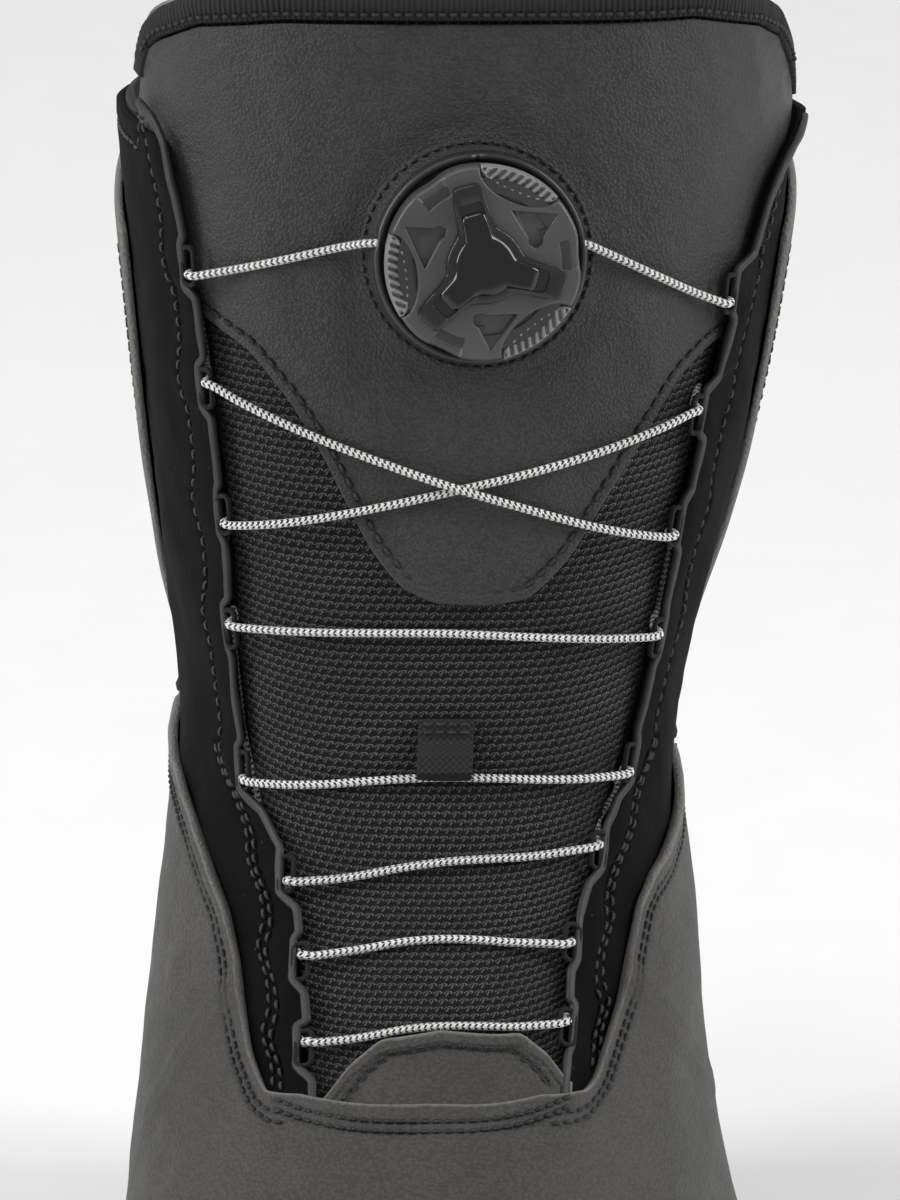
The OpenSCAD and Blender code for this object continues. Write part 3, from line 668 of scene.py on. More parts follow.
def knit_paint(name, yarn, gap):
    p = Paint(name)
    wobble = p.noise(1.1, 2, 0.5, place=p.uv())
    place = p.joined(*[p.add(c, p.times(p.math("SUBTRACT", wobble, 0.5), 0.35)) for c in p.parts(p.uv())[:2]])
    height = knit_height(p, place)
    twist = p.noise(0.3, 3, 0.6, place=p.scaled(p.uv(), 1, 2.2))
    broad = p.noise(18, 3)
    bright = p.mixed(p.span(broad, 0.3, 0.7), shade(yarn, 0.8), shade(yarn, 1.2))
    # Painted shade: the low parts of the knit take the near-black gap colour, and the raised loops take the
    # yarn colour.
    base = p.mixed(p.span(height, 0.25, 0.85), gap, bright)
    base = p.mixed(p.times(p.span(twist, 0.5, 0.8), 0.35), base, shade(yarn, 1.7))
    normal_in = p.bump(p.add(height, p.times(twist, 0.18)), 0.5, 0.9)
    return p.finish(base, p.span(height, 0, 1, 0.9, 0.5), normal_in, sheen=0.02, spec=0.3)


def weave_paint(name, color, rib_u=1.0, rib_v=0.9, depth=0.25, rough=0.75, dots=True):
    """Woven webbing or ribbed tape, with its ribs laid out by the UVs in mm."""
    p = Paint(name)
    u, v, _ = p.parts(p.uv())
    warp = p.math("SINE", p.times(v, 2 * math.pi / rib_v))
    weft = p.math("SINE", p.times(u, 2 * math.pi / rib_u))
    cross_over = p.times(warp, weft)
    height = p.add(p.times(cross_over, 0.5), 0.5) if dots else p.add(p.times(warp, 0.5), 0.5)
    fuzz = p.noise(0.4, 3, 0.7)
    broad = p.noise(14, 3)
    # Painted shade in the weave's hollows and painted highlight on its raised ribs: the colour follows the
    # height.
    base = p.mixed(height, shade(color, 0.45), shade(color, 1.35))
    base = p.mixed(p.times(p.span(fuzz, 0.5, 0.8), 0.3), base, shade(color, 2.1))
    base = p.mixed(p.times(p.span(broad, 0.35, 0.7), 0.25), base, shade(color, 0.7))
    # Painted shade: darker along each seam, where its pressed groove lies.
    seam_shade = p.span(p.attribute("seam"), 0.25, 0.8, 1, 0)
    base = p.mixed(p.times(seam_shade, 0.5), base, shade(color, 0.35))
    normal_in = p.bump(p.add(height, p.times(fuzz, 0.4)), depth, 0.8)
    return p.finish(base, rough, normal_in, sheen=0.02, spec=0.25)


def thread_paint(name, color):
    """Twisted sewing thread."""
    p = Paint(name)
    u, v, _ = p.parts(p.uv())
    twist = p.math("SINE", p.add(p.times(u, 4 * math.pi), p.times(v, 9.0)))
    fuzz = p.noise(0.25, 3, 0.7)
    # Painted shade and highlight along the twist: darker between the plies, lighter on them.
    base = p.mixed(p.span(twist, -1, 1), shade(color, 0.6), shade(color, 1.5))
    base = p.mixed(p.times(p.span(fuzz, 0.55, 0.85), 0.4), base, shade(color, 2.4))
    return p.finish(base, p.span(fuzz, 0.3, 0.7, 0.45, 0.65), p.bump(p.add(twist, fuzz), 0.06, 0.8), spec=0.5)


def lace_paint(name):
    """White braid with two slanting rows of black flecks down each face."""
    p = Paint(name)
    u, v, _ = p.parts(p.uv())
    face = p.math("FRACT", p.times(u, 2.0))
    fold = p.math("ABSOLUTE", p.math("SUBTRACT", face, 0.5))
    step = p.math("FRACT", p.math("DIVIDE", p.add(v, p.times(fold, 1.6)), 1.2))
    on_row = p.times(p.span(fold, 0.0, 0.03), p.span(fold, 0.25, 0.29, 1, 0))
    on_step = p.times(p.span(step, 0.0, 0.08), p.span(step, 0.42, 0.5, 1, 0))
    edge_rows = p.times(p.span(fold, 0.27, 0.31), p.span(p.math("FRACT", p.add(step, 0.5)), 0.4, 0.48, 1, 0))
    fleck = p.math("MAXIMUM", p.times(on_row, on_step), edge_rows)
    braid = p.math("ABSOLUTE", p.math("SINE", p.add(p.times(v, 6.4), p.times(fold, 7.0))))
    fuzz = p.noise(0.2, 3, 0.7)
    white = p.mixed(p.span(fuzz, 0.3, 0.7), (0.74, 0.73, 0.7), (0.92, 0.915, 0.9))
    # Painted shade: grey in the grooves between the braid's strands.
    white = p.mixed(p.span(braid, 0.0, 0.35, 0.45, 0), white, (0.42, 0.415, 0.41))
    base = p.mixed(fleck, white, (0.012, 0.012, 0.013))
    normal_in = p.bump(p.add(braid, p.times(fuzz, 0.3)), 0.14, 0.8)
    return p.finish(base, 0.6, normal_in, sheen=0.1)


def rubber_paint(name, color, rough=0.6, speck=0.4, bump=0.05, coat=0.0, scuff=0.25, plain=False):
    """Moulded rubber or plastic with a fine texture, dull patches and paler rubbed edges."""
    p = Paint(name, plain)
    fine = p.noise(speck, 3, 0.6)
    broad = p.noise(16, 4, 0.6)
    marks = p.span(p.noise(4.5, 5, 0.7, place=p.scaled(p.place, 1, 0.25, 1)), 0.58, 0.72)
    base = p.mixed(p.span(broad, 0.3, 0.7), shade(color, 0.85), shade(color, 1.18))
    base = p.mixed(p.times(p.span(fine, 0.5, 0.8), 0.3), base, shade(color, 1.5))
    base = p.mixed(p.times(marks, scuff), base, shade(color, 2.2))
    if not plain:
        rubbed = p.span(p.attribute("edge"), 0.1, 0.6, 1, 0)
        base = p.mixed(p.times(rubbed, 0.25), base, shade(color, 2.0))
    roughness = p.add(p.span(fine, 0.3, 0.7, rough - 0.06, rough + 0.06), p.times(marks, 0.1))
    return p.finish(base, roughness, p.bump(fine, bump, 0.6), coat=coat)


def mesh_paint(name, color, hole, size=2.2, rough=0.8):
    """Spacer mesh or lining fabric: small cells over foam."""
    p = Paint(name)
    u, v, _ = p.parts(p.uv())
    place = p.joined(u, v)
    web = p.cells(size, place=place, feature="DISTANCE_TO_EDGE", random=0.25)
    strands = p.span(web, 0.06, 0.2, 1, 0)
    fuzz = p.noise(0.4, 3, 0.7)
    broad = p.noise(20, 3)
    base = p.mixed(strands, hole, color)
    base = p.mixed(p.times(p.span(fuzz, 0.45, 0.8), 0.35), base, shade(color, 1.6))
    base = p.mixed(p.times(p.span(broad, 0.35, 0.7), 0.3), base, shade(color, 0.75))
    # Painted shade: darker along each seam, where its pressed groove lies.
    seam_shade = p.span(p.attribute("seam"), 0.3, 1.0, 1, 0)
    base = p.mixed(p.times(seam_shade, 0.5), base, shade(color, 0.4))
    return p.finish(base, rough, p.bump(p.add(strands, p.times(fuzz, 0.4)), 0.2, 0.7), sheen=0.3, spec=0.3)


def steel_paint(name):
    p = Paint(name, True)
    grain = p.noise(0.7, 4, 0.7, place=p.scaled(p.place, 0.12, 1.6, 1.6))
    base = p.mixed(grain, (0.42, 0.42, 0.43), (0.62, 0.62, 0.63))
    return p.finish(base, p.span(grain, 0.3, 0.7, 0.25, 0.45), p.bump(grain, 0.02, 0.5), metal=1.0)


def fibre_paint(name, color, size=1.2, plain=False):
    p = Paint(name, plain)
    strands = p.noise(size, 5, 0.7, place=p.scaled(p.place, 1, 0.3, 1), warp=1.2)
    pores = p.span(p.cells(size * 0.8), 0.1, 0.5)
    base = p.mixed(p.span(strands, 0.35, 0.7), shade(color, 0.7), shade(color, 1.35))
    base = p.mixed(p.times(p.math("SUBTRACT", 1.0, pores), 0.3), base, shade(color, 0.5))
    return p.finish(base, 0.85, p.bump(p.add(strands, pores), 0.15, 0.7), sheen=0.2)


GREY = (0.049, 0.0468, 0.0442)
RAW = (0.2, 0.192, 0.18)
PAINT = {
    "leather": leather_paint("grey_leather", GREY, RAW, grain=0.8, rough=0.56, wrinkle=0.22),
    "nubuck": nubuck_paint("black_nubuck", (0.0052, 0.0052, 0.0054), (0.07, 0.068, 0.065)),
    "tongue_leather": leather_paint("tongue_leather", (0.034, 0.0336, 0.033), (0.06, 0.059, 0.055),
                                    grain=0.6, rough=0.5, wrinkle=0.3, raw_width=0.8, sheen=0.02),
    "patch_leather": leather_paint("patch_leather", (0.02, 0.02, 0.02), (0.03, 0.03, 0.03),
                                   grain=0.5, rough=0.42),
    # The knit's second colour is the painted shade in the gaps between its loops.
    "tongue_knit": knit_paint("tongue_knit", (0.125, 0.125, 0.127), (0.0008, 0.0008, 0.0009)),
    "gusset_mesh": mesh_paint("gusset_mesh", (0.02, 0.02, 0.02), (0.006, 0.006, 0.006), 1.6),
    "webbing": weave_paint("webbing", (0.022, 0.022, 0.022), 1.3, 1.3, 0.3),
    "binding_tape": weave_paint("binding_tape", (0.026, 0.026, 0.026), 1.0, 1.05, 0.35, dots=False),
    "edge_tape": rubber_paint("edge_tape", (0.013, 0.0128, 0.0124), 0.55, 0.5, 0.08),
    "guide_webbing": weave_paint("guide_webbing", (0.013, 0.013, 0.013), 0.8, 0.7, 0.15),
    "thread": thread_paint("black_thread", (0.016, 0.016, 0.017)),
    "thread_grey": thread_paint("grey_thread", (0.03, 0.0295, 0.029)),
    "lace_white": lace_paint("lace_braid"),
    "guard_rubber": rubber_paint("guard_rubber", (0.026, 0.026, 0.027), 0.62, 0.6, 0.1),
    "outsole_rubber": rubber_paint("outsole_rubber", (0.032, 0.032, 0.034), 0.68, 0.7, 0.12),
    "midsole_foam": rubber_paint("midsole_foam", (0.06, 0.06, 0.062), 0.72, 0.9, 0.16),
    "dial_black": rubber_paint("dial_body", (0.062, 0.0625, 0.0645), 0.34, 0.35, 0.04, scuff=0.1),
    "dial_rim": rubber_paint("dial_rim", (0.022, 0.022, 0.023), 0.36, 0.4, 0.03, scuff=0.1),
    "dial_inner": rubber_paint("dial_inner", (0.03, 0.03, 0.032), 0.4, 0.4, 0.04, plain=True),
    "spool_lace": fibre_paint("wound_lace", (0.7, 0.69, 0.67), 0.5, True),
    "grip_rubber": rubber_paint("grip_rubber", (0.2, 0.202, 0.208), 0.34, 0.4, 0.06, scuff=0.1),
    "dial_cover": rubber_paint("dial_cover", (0.012, 0.012, 0.0125), 0.26, 0.3, 0.02, scuff=0.08),
    "dial_gloss": rubber_paint("dial_gloss", (0.003, 0.003, 0.0033), 0.12, 0.3, 0.006, coat=0.15, scuff=0.05),
    "lining_foam": mesh_paint("lining_fabric", (0.03, 0.03, 0.032), (0.012, 0.012, 0.012), 2.0),
    "liner_fabric": mesh_paint("liner_fabric", (0.045, 0.046, 0.049), (0.018, 0.018, 0.02), 1.5),
    "insole_foam": fibre_paint("insole_fabric", (0.12, 0.13, 0.145), 1.4),
    "lasting_board_fibre": fibre_paint("board_fibre", (0.25, 0.2, 0.13), 2.0, True),
    "heel_cushion_foam": fibre_paint("cushion_foam", (0.1, 0.13, 0.15), 1.6, True),
    "shank_steel": steel_paint("shank_steel"),
}


def even(n):
    return np.linspace(0, 1, n + 1)


def edged(n, share=0.02, steps_in=4):
    """Even steps from 0 to 1 with short ones near both ends."""
    near = share * (np.arange(steps_in) / steps_in) ** 1.5
    middle = np.linspace(share, 1 - share, n + 1)
    return np.concatenate([near, middle, (1 - near)[::-1]])


def leather_threads(seams):
    return [stitches(s, 2.6, 0.7, 0.3, -0.25) for s in seams]


def stacked(points, faces, uv):
    """A bit of mesh out of rings of points, with no worn edges."""
    points = points.reshape(-1, 3)
    return bit(points, faces, uv.reshape(-1, 2), edge=np.full(len(points), FAR))


def block(outer, inner, uv, n, m):
    """A solid between two grids of n columns and m rows."""
    faces = [grid_quads(n, m, 0, True), grid_quads(n, m, n * m, False), rim_quads(n, m, n * m, True)]
    return stacked(np.concatenate([outer, inner]), faces, np.concatenate([uv, uv]))


# ---- lower shell ----
LEATHER_SEAM = 1.75
VAMP_TURNS = [-95, -72, -64, -57, -50.5, -46.5, -44, -41.7, -37, -32, -28, 0,
              28, 36, 41, 44, 46.7, 50.2, 52.4, 55.7, 60.3, 73, 95]
VAMP_LEVELS = [6.42, 6.4, 6.3, 6.14, 5.95, 5.68, 5.37, 5.12, 4.9, 4.94, 4.98, 5.0,
               4.98, 4.9, 4.84, 4.88, 5.08, 5.32, 5.6, 5.9, 6.02, 6.0, 6.0]


def vamp_top(turn):
    return smooth_table(turn, VAMP_TURNS, VAMP_LEVELS, 1.0)


def offset_line(places, inward):
    """Places moved sideways over the surface by inward mm, to the left of their direction."""
    places = np.asarray(places, float)
    ahead = np.gradient(places, axis=0)
    turn, level = places[:, 0], places[:, 1]
    per_turn, per_level = turn_mm(turn, level), level_mm(turn, level)
    du, dv = ahead[:, 0] * per_turn, ahead[:, 1] * per_level
    size = np.hypot(du, dv)
    return np.stack([turn - dv / size * inward / per_turn, level + du / size * inward / per_level], -1)


CREASES = [
    [(-46, 5.5), (-50, 5.27), (-53, 5.08), (-56.5, 4.8), (-60, 4.5), (-66, 3.9)],
    [(-45, 5.38), (-50, 5.12), (-54, 4.85), (-58, 4.5)],
    [(52, 5.45), (56.5, 5.17), (62, 4.85), (69.5, 4.33), (80, 3.55)],
    [(53, 5.4), (60, 5.1), (70, 4.5)],
]
CREASE_DEPTHS = (1.1, 0.4, 1.1, 0.35)


def crease_relief(points):
    """Folds pressed into the sides of the vamp, each with a soft ridge beside it."""
    total = np.zeros(points.shape[:-1])
    for places, depth in zip(CREASES, CREASE_DEPTHS):
        line = Seam(places)
        near, press = seam_distance(points, [line])
        total += depth * (0.5 * bell(near - 2.6, 1.6) - bell(near, 0.75))
    return total


def vamp_relief(turn, level, mid, edge, flat):
    waves = 0.25 * ripple(mid, 34, 3) + 0.1 * ripple(mid, 12, 4)
    toe_folds = 0.22 * np.sin(level * 13 + 0.4 * np.sin(turn * 0.1)) * bell(level - 3.9, 0.7) * bell(turn, 48)
    band = 0.18 * soft_step((5.0 - edge) / 1.5)
    return waves + toe_folds + crease_relief(mid) + band * soft_step((level - 4.6) * 4)


def top_line(low_turn, high_turn, n=60):
    turns = np.linspace(low_turn, high_turn, n)
    return np.stack([turns, vamp_top(turns)], -1)


def make_vamp():
    side_line = top_line(-92, -33)
    other_line = top_line(33, 92)
    lines = [offset_line(line, -d) for line in (side_line, other_line) for d in (4.2, 6.4)]
    seams = [Seam(line, LEATHER_SEAM) for line in lines]
    across = np.linspace(-34, 36, 40)
    front = [Seam(np.stack([across, np.full(40, level)], -1), 1.7, 0.5) for level in (4.87, 4.8)]
    back = [Seam([[t, l] for l in np.linspace(0.5, 5.9, 20)], LEATHER_SEAM) for t in (-91.5, -89, 91.5, 89)]
    seams += front + back
    spans = ((-94, -60, 50), (-60, -30, 64), (-30, 30, 60), (30, 60, 64))
    turns = np.concatenate([np.linspace(*span)[:-1] for span in spans] + [np.linspace(60, 94, 50)])
    rows = 1 - (1 - edged(150, 0.012)) ** 1.1
    skin = sheet(lambda u, q: (u, mix(0.06, vamp_top(u), q)), turns, rows, OUTER, 0.8, "lrt",
                 relief=vamp_relief, seams=seams)
    build("vamp", skin, PAINT["leather"], "boot", "vamp")
    threads = leather_threads(seams[:4] + seams[6:])
    threads += [stitches(s, 2.2, 0.3, 0.36, -0.2) for s in seams[4:6]]
    build("vamp_stitching", threads, PAINT["thread"], "boot")


def make_quarters():
    for side, name in ((-1, "quarter_medial"), (1, "quarter_lateral")):
        upright, along_top = np.linspace(0.5, 5.95, 20), np.linspace(97, 170, 20)
        lines = [[[side * t, l] for l in upright] for t in (97.5, 100)]
        lines += [[[side * t, l] for t in along_top] for l in (5.98, 5.9)]
        seams = [Seam(line, LEATHER_SEAM) for line in lines]
        top = 6.43 if side < 0 else 6.02
        skin = sheet(lambda u, q: (side * mix(94.6, 176, u), mix(0.06, mix(top, 6.36, u), q)),
                     edged(110), edged(110), OUTER, 0.8, "lrt", seams=seams,
                     relief=lambda t, l, m, e, f: 0.3 * ripple(m, 30, 11) + 0.08 * ripple(m, 11, 12))
        build(name, skin, PAINT["leather"], "boot", name)
        build(name + "_stitching", leather_threads(seams), PAINT["thread"], "boot")


def make_piping():
    """A raised welt over the seams between the vamp, the quarters and the cuffs."""
    welts = []
    for side, top in ((-1, 6.43), (1, 6.02)):
        down = (np.full(160, side * 94.3), np.linspace(0.12, top - 0.05, 160))
        across_back = (side * np.linspace(94.6, 163, 120), np.linspace(top, 6.36, 120) + 0.03)
        for turns, levels in (down, across_back):
            path = layer(turns, levels, OUTER[1] - 0.45)
            up = normal(turns, levels)
            welts.append(sweep(path, np.cross(tangents(path), up), up, box_profile(2.5, 1.5, 0.7)))
    build("seam_piping", welts, PAINT["leather"], "boot")


def make_guards():
    def toe_top(u):
        return 1.75 - 0.9 * (2 * u - 1) ** 2

    def toe_relief(turn, level, mid, edge, flat):
        ribs = 0.35 * soft_step(np.sin(level * 16) * 1.5) * soft_step((edge - 3) / 2)
        return ribs * bell(turn, 55) - 0.5

    toe = sheet(lambda u, q: (mix(-66, 66, u), mix(0.06, toe_top(u), q)), edged(150), edged(44), GUARD,
                1.0, "lrt", relief=toe_relief)
    build("toe_bumper", toe, PAINT["guard_rubber"], "boot", "toe_bumper")

    def heel_top(u):
        return 3.9 - 1.6 * np.abs(2 * u - 1) ** 3

    def heel_relief(turn, level, mid, edge, flat):
        phase = (level * 2.2 + np.abs(turn_from_back(turn)) * 0.035) % 1 - 0.5
        return -0.3 - 0.55 * bell(phase, 0.11) * soft_step((edge - 6) / 1.5) + 0.3 * bell(edge - 3.5, 1.2)

    heel = sheet(lambda u, q: (mix(122, 238, u), mix(0.06, heel_top(u), q)), edged(130), edged(100), GUARD,
                 1.0, "lrt", relief=heel_relief)
    build("heel_counter", heel, PAINT["guard_rubber"], "boot", "heel_counter")


def turn_from_back(turn):
    return (turn % 360) - 180


# ---- leg ----
EDGE = {
    -1: ([4.6, 5.1, 5.66, 6.2, 6.55, 6.8, 6.95, 7.37, 8.07, 8.78, 9.39, 9.9, 10.2, 10.33, 10.38],
         [25.5, 26, 28.5, 31, 35.5, 42.5, 46, 47.3, 45.3, 46.2, 47.3, 50.5, 54, 58.5, 66]),
    1: ([4.6, 5.17, 5.86, 6.2, 6.51, 6.9, 7.3, 7.82, 8.22, 8.84, 9.33, 9.82, 10.0, 10.08, 10.15],
        [35.5, 36, 35.5, 37.5, 41.1, 46.6, 49, 49.9, 50.8, 52.7, 56.4, 62.9, 68, 75, 88]),
}
PANEL_TOP = {-1: 10.38, 1: 10.15}
# Lace windows from the top down: angle from the front, and level.
WINDOWS = {
    -1: [(48.4, 9.57), (46.7, 8.95), (44.9, 8.31), (46.0, 7.71),
         (46.2, 6.93), (34, 6.41), (29.8, 5.88), (28.2, 5.31)],
    1: [(53.2, 9.4), (48.8, 8.8), (47.9, 8.23), (48.6, 7.64),
        (47.0, 6.97), (40.6, 6.5), (35.1, 5.96), (35.3, 5.38)],
}
WINDOW_OPEN = (2.2, 6.4)
RIM = 0.95


def level_mm(turn, level):
    return np.linalg.norm(surface(turn, level + 0.05) - surface(turn, level - 0.05), axis=-1) * 10


def turn_mm(turn, level):
    return np.linalg.norm(surface(turn + 0.5, level) - surface(turn - 0.5, level), axis=-1)


def edge_turn(level, side):
    """Angle of the throat's edge, swung outwards round each lace window."""
    level = np.asarray(level, float)
    xs, ys = EDGE[side]
    turn = smooth_table(level, xs, ys, 0.05)
    for window_turn, window_level in WINDOWS[side]:
        mm = float(level_mm(side * window_turn, window_level))
        away = np.abs(level - window_level) * mm
        share = soft_step((6.4 - away) / 2.6)
        outside = window_turn + 1.75 / float(turn_mm(side * window_turn, window_level))
        turn = mix(turn, outside, share)
    return turn


def flare(level):
    """How far the inner edge of the leg's front panels stands out, in mm."""
    levels = [4.8, 5.4, 6.4, 7.4, 8.6, 9.4, 10.0, 10.38]
    return np.interp(level, levels, [0.2, 0.7, 0.8, 1.0, 1.5, 2.4, 2.8, 1.6])


def seam_turn(level, side):
    """Angle of the wavy seam beside the throat."""
    level = np.asarray(level, float)
    xs, ys = EDGE[side]
    turn = smooth_table(level, xs, ys, 0.12) + 8.2
    for window_turn, window_level in WINDOWS[side]:
        turn = turn + 2.3 * bell(level - window_level + 0.02, 0.13)
    return turn


def panel_lift(side):
    def lift(turn, level):
        away = (side * turn - edge_turn(level, side)) * 1.2
        return flare(level) * bell(np.maximum(away, 0), 9.5)
    return lift


def panel_relief(turn, level, mid, edge, flat):
    return 0.35 * ripple(mid, 26, 21) + 0.1 * ripple(mid, 9, 22)


def top_dip(turn):
    """How far the shell's top edge dips beside the tongue on the inner side, in levels."""
    turn = (np.asarray(turn, float) + 180) % 360 - 180
    return 0.17 * soft_step((turn + 130) / 30) * soft_step((-turn - 48) / 18)


def make_front_panel(side, name):
    top = PANEL_TOP[side]
    wave = np.linspace(4.95, top - 0.12, 110)
    lines = [[side * seam_turn(l, side), l] for l in wave]
    corner = [[side * t, top - 0.13 - float(top_dip(side * t))]
              for t in np.linspace(float(seam_turn(top - 0.12, side)) + 2, 108, 12)]
    lift = panel_lift(side)
    outer_line = np.array(lines + corner)
    lower = np.array([[side * (seam_turn(l, side) + 2.2), l] for l in np.linspace(4.95, 6.95, 50)])

    def panel_depth(places):
        return SKIN[1] - 0.05 + lift(places[:, 0], places[:, 1])

    seams = []
    for places in (outer_line, lower):
        spots = np.arange(0, len(places) - 1 + 1e-6, 0.05)
        fine = along(places, spots)
        seams.append(Seam(places, panel_depth(fine), 0.45, 0.75))

    def place(u, q):
        level = mix(4.72, top - 0.5 * np.maximum(0, 2.2 * u - 1.6) ** 2 * (side < 0), q)
        turn = side * mix(edge_turn(level, side) + 0.5, 112, u)
        return turn, level - top_dip(turn) * soft_step((q - 0.9) / 0.1)

    skin = sheet(place, edged(110, 0.02), edged(300, 0.006), SKIN, 0.7, "lrbt",
                 relief=panel_relief, lift=lift, seams=seams)
    build(name, skin, PAINT["nubuck"], "boot", name)
    threads = [stitches(s, 3.0, 0.8, 0.33, -0.28) for s in seams]
    build(name + "_stitching", threads, PAINT["thread_grey"], "boot")


def make_edge_tape(side, name):
    """The folded tape along the throat's edge."""
    levels = np.linspace(4.9, PANEL_TOP[side] - 0.02, 360)
    turns = side * edge_turn(levels, side)
    path = layer(turns, levels, SKIN[1] + 0.05 + flare(levels))
    up = normal(turns, levels)
    side_way = np.cross(tangents(path), up)
    fold = box_profile(1.7, 1.25, 0.5)
    width = 1 + 0.12 * ripple(path, 9, 5 + side)
    tape = sweep(path, side_way, up, fold, scale=width)
    build(name, tape, PAINT["edge_tape"], "boot", name)


def local_frame(turn, level, depth):
    p = layer(turn, level, np.asarray(depth, float))
    z = normal(turn, level)
    y = unit(surface(turn, level + 0.05) - surface(turn, level - 0.05))
    x = np.cross(y, z)
    return p, x, y, z


def make_guides(side, name):
    """A flat loop for each pass of the lace."""
    rings = []
    for turn, level in WINDOWS[side]:
        p, x, y, z = local_frame(side * turn, level, SKIN[1] + 0.15 + flare(level))
        outline = box_profile(WINDOW_OPEN[0] + RIM, WINDOW_OPEN[1] + RIM, 1.25, 8)
        path = p + outline[:, :1] * x + outline[:, 1:] * y
        ways = tangents(path, True)
        up = np.broadcast_to(z, path.shape)
        rings.append(sweep(path, np.cross(ways, up), up, box_profile(RIM, 1.0, 0.35), closed=True))
    build(name, rings, PAINT["guide_webbing"], "boot", name)


def cuff_front(level):
    return 79 + 25 * ((9.6 - np.minimum(level, 9.6)) / 3.2) ** 2


def make_cuff(side, name):
    def place(u, q):
        level = mix(6.45, mix(9.5, 10.05, np.minimum(1, 2.5 * u)), q)
        return side * mix(cuff_front(level), 171, u), level

    levels = np.linspace(6.6, 9.4, 30)
    front = [np.stack([side * (cuff_front(levels) + in_by), levels], -1) for in_by in (3.2, 5.2)]
    arch = [[side * t, 7.15 + 0.6 * float(soft_step((t - 99) / 66))] for t in np.linspace(99, 165, 24)]
    top = [[side * t, 9.88] for t in np.linspace(112, 169, 16)]
    seams = [Seam(line, LEATHER_SEAM) for line in front + [arch, top]]

    def relief(turn, level, mid, edge, flat):
        pad = 0.9 * bell(turn_from_back(turn) / 40.0, 1.0) * bell(level - 8.6, 0.8)
        return 0.25 * ripple(mid, 28, 31) + pad * soft_step(edge / 6)

    skin = sheet(place, edged(110), edged(120), OUTER, 0.8, "lrbt", relief=relief, seams=seams)
    build(name, skin, PAINT["leather"], "boot", name)
    build(name + "_stitching", leather_threads(seams), PAINT["thread"], "boot")


def make_backstay():
    def place(u, q):
        level = mix(4.1, 10.15, q)
        return mix(164 + 3 * q, 196 - 3 * q, u), level

    seams = [Seam([[164 + 3 * s + 2.2, mix(4.1, 10.15, s)] for s in np.linspace(0.01, 0.99, 40)], 4.45),
             Seam([[196 - 3 * s - 2.2, mix(4.1, 10.15, s)] for s in np.linspace(0.01, 0.99, 40)], 4.45)]

    def relief(turn, level, mid, edge, flat):
        ribs = 0.5 * soft_step(np.sin(flat[..., 1] * 0.9) * 1.4) * bell(level - 6.6, 1.0)
        return ribs * soft_step((edge - 4) / 2) - 0.2

    stay = sheet(place, edged(40), edged(220, 0.006), GUARD, 0.9, "lrbt", relief=relief, seams=seams)
    build("backstay", stay, PAINT["nubuck"], "boot", "backstay")
    threads = [stitches(s, 2.8, 0.8, 0.32, -0.3) for s in seams]
    build("backstay_stitching", threads, PAINT["thread_grey"], "boot")


def ribbon(path, across, width, thick, r=0.5):
    """A flat strap along a path, with its width along the vector across."""
    ways = tangents(path)
    side = np.broadcast_to(np.asarray(across, float), path.shape)
    up = unit(np.cross(side, ways))
    return sweep(path, side, up, box_profile(width, thick, r))


def rounded_path(corners, r, n=8):
    """A path in a plane through corners, with each corner rounded to radius r."""
    corners = [np.asarray(c, float) for c in corners]
    path = [corners[0]]
    for a, b, c in zip(corners, corners[1:], corners[2:]):
        p, q = b + unit(a - b) * r, b + unit(c - b) * r
        for t in np.linspace(0, 1, n):
            path.append((1 - t) ** 2 * p + 2 * t * (1 - t) * b + t * t * q)
    path.append(corners[-1])
    path = np.array(path)
    gaps = np.concatenate([[0], np.cumsum(np.linalg.norm(np.diff(path, axis=0), axis=1))])
    s = np.linspace(0, gaps[-1], int(gaps[-1] / 1.0) + 2)
    return np.stack([np.interp(s, gaps, path[:, k]) for k in range(3)], -1)


def make_heel_loop():
    p, _, y, z = local_frame(180.0, 9.2, GUARD[1] + 0.9)
    corners = [(0, -21.5), (0, -14), (10.5, -7.5), (10.5, 7.5), (0, 14), (0, 21.5)]
    strap = ribbon(rounded_path([p + out * z + up * y for out, up in corners], 4.5), (1, 0, 0), 22, 1.5)
    back = rounded_path([p - 0.3 * z - 21 * y, p - 0.3 * z + 21 * y], 1)
    sewn = ribbon(back, (1, 0, 0), 21, 1.0, 0.4)
    build("heel_loop", [strap, sewn], PAINT["webbing"], "boot", "heel_loop")


def make_collar():
    def place(u, q):
        start = throat(10.3, 1) + 15
        turn = mix(start, throat(10.3, -1) + 345, u)
        return turn, mix(10.17, 10.43, q) - top_dip(turn)

    roll = sheet(place, edged(200, 0.004), np.linspace(0, 1, 16), (-5.4, -2.0), 1.65, "lrbt", both=True)
    build("collar_binding", roll, PAINT["binding_tape"], "boot", "collar_binding")


def make_linings():
    low = ring_sheet(0.12, 4.6, 120, even(50), LINING, 1.2, both=True)
    build("shell_lining_lower", low, PAINT["lining_foam"], "boot", "shell_lining_lower")

    def place(u, q):
        level = mix(4.72, 10.15, q)
        return mix(throat(level, 1) + 10.6, throat(level, -1) + 349.4, u), level

    high = sheet(place, edged(110, 0.01), edged(90, 0.01), LINING, 1.2, "lrbt", both=True,
                 relief=lambda t, l, m, e, f: 0.12 * ripple(m, 15, 41))
    build("shell_lining_upper", high, PAINT["lining_foam"], "boot", "shell_lining_upper")


# ---- tongue ----
def tongue_drop(u):
    """How far the tongue's rounded top corners fall, in levels."""
    xs = [0, 0.006, 0.025, 0.055, 0.13, 0.25, 0.72, 0.84, 0.9, 0.96, 1]
    ys = [0.6, 0.42, 0.26, 0.17, 0.06, 0.01, 0.01, 0.1, 0.2, 0.42, 0.7]
    return smooth_table(u, xs, ys, 0.006)


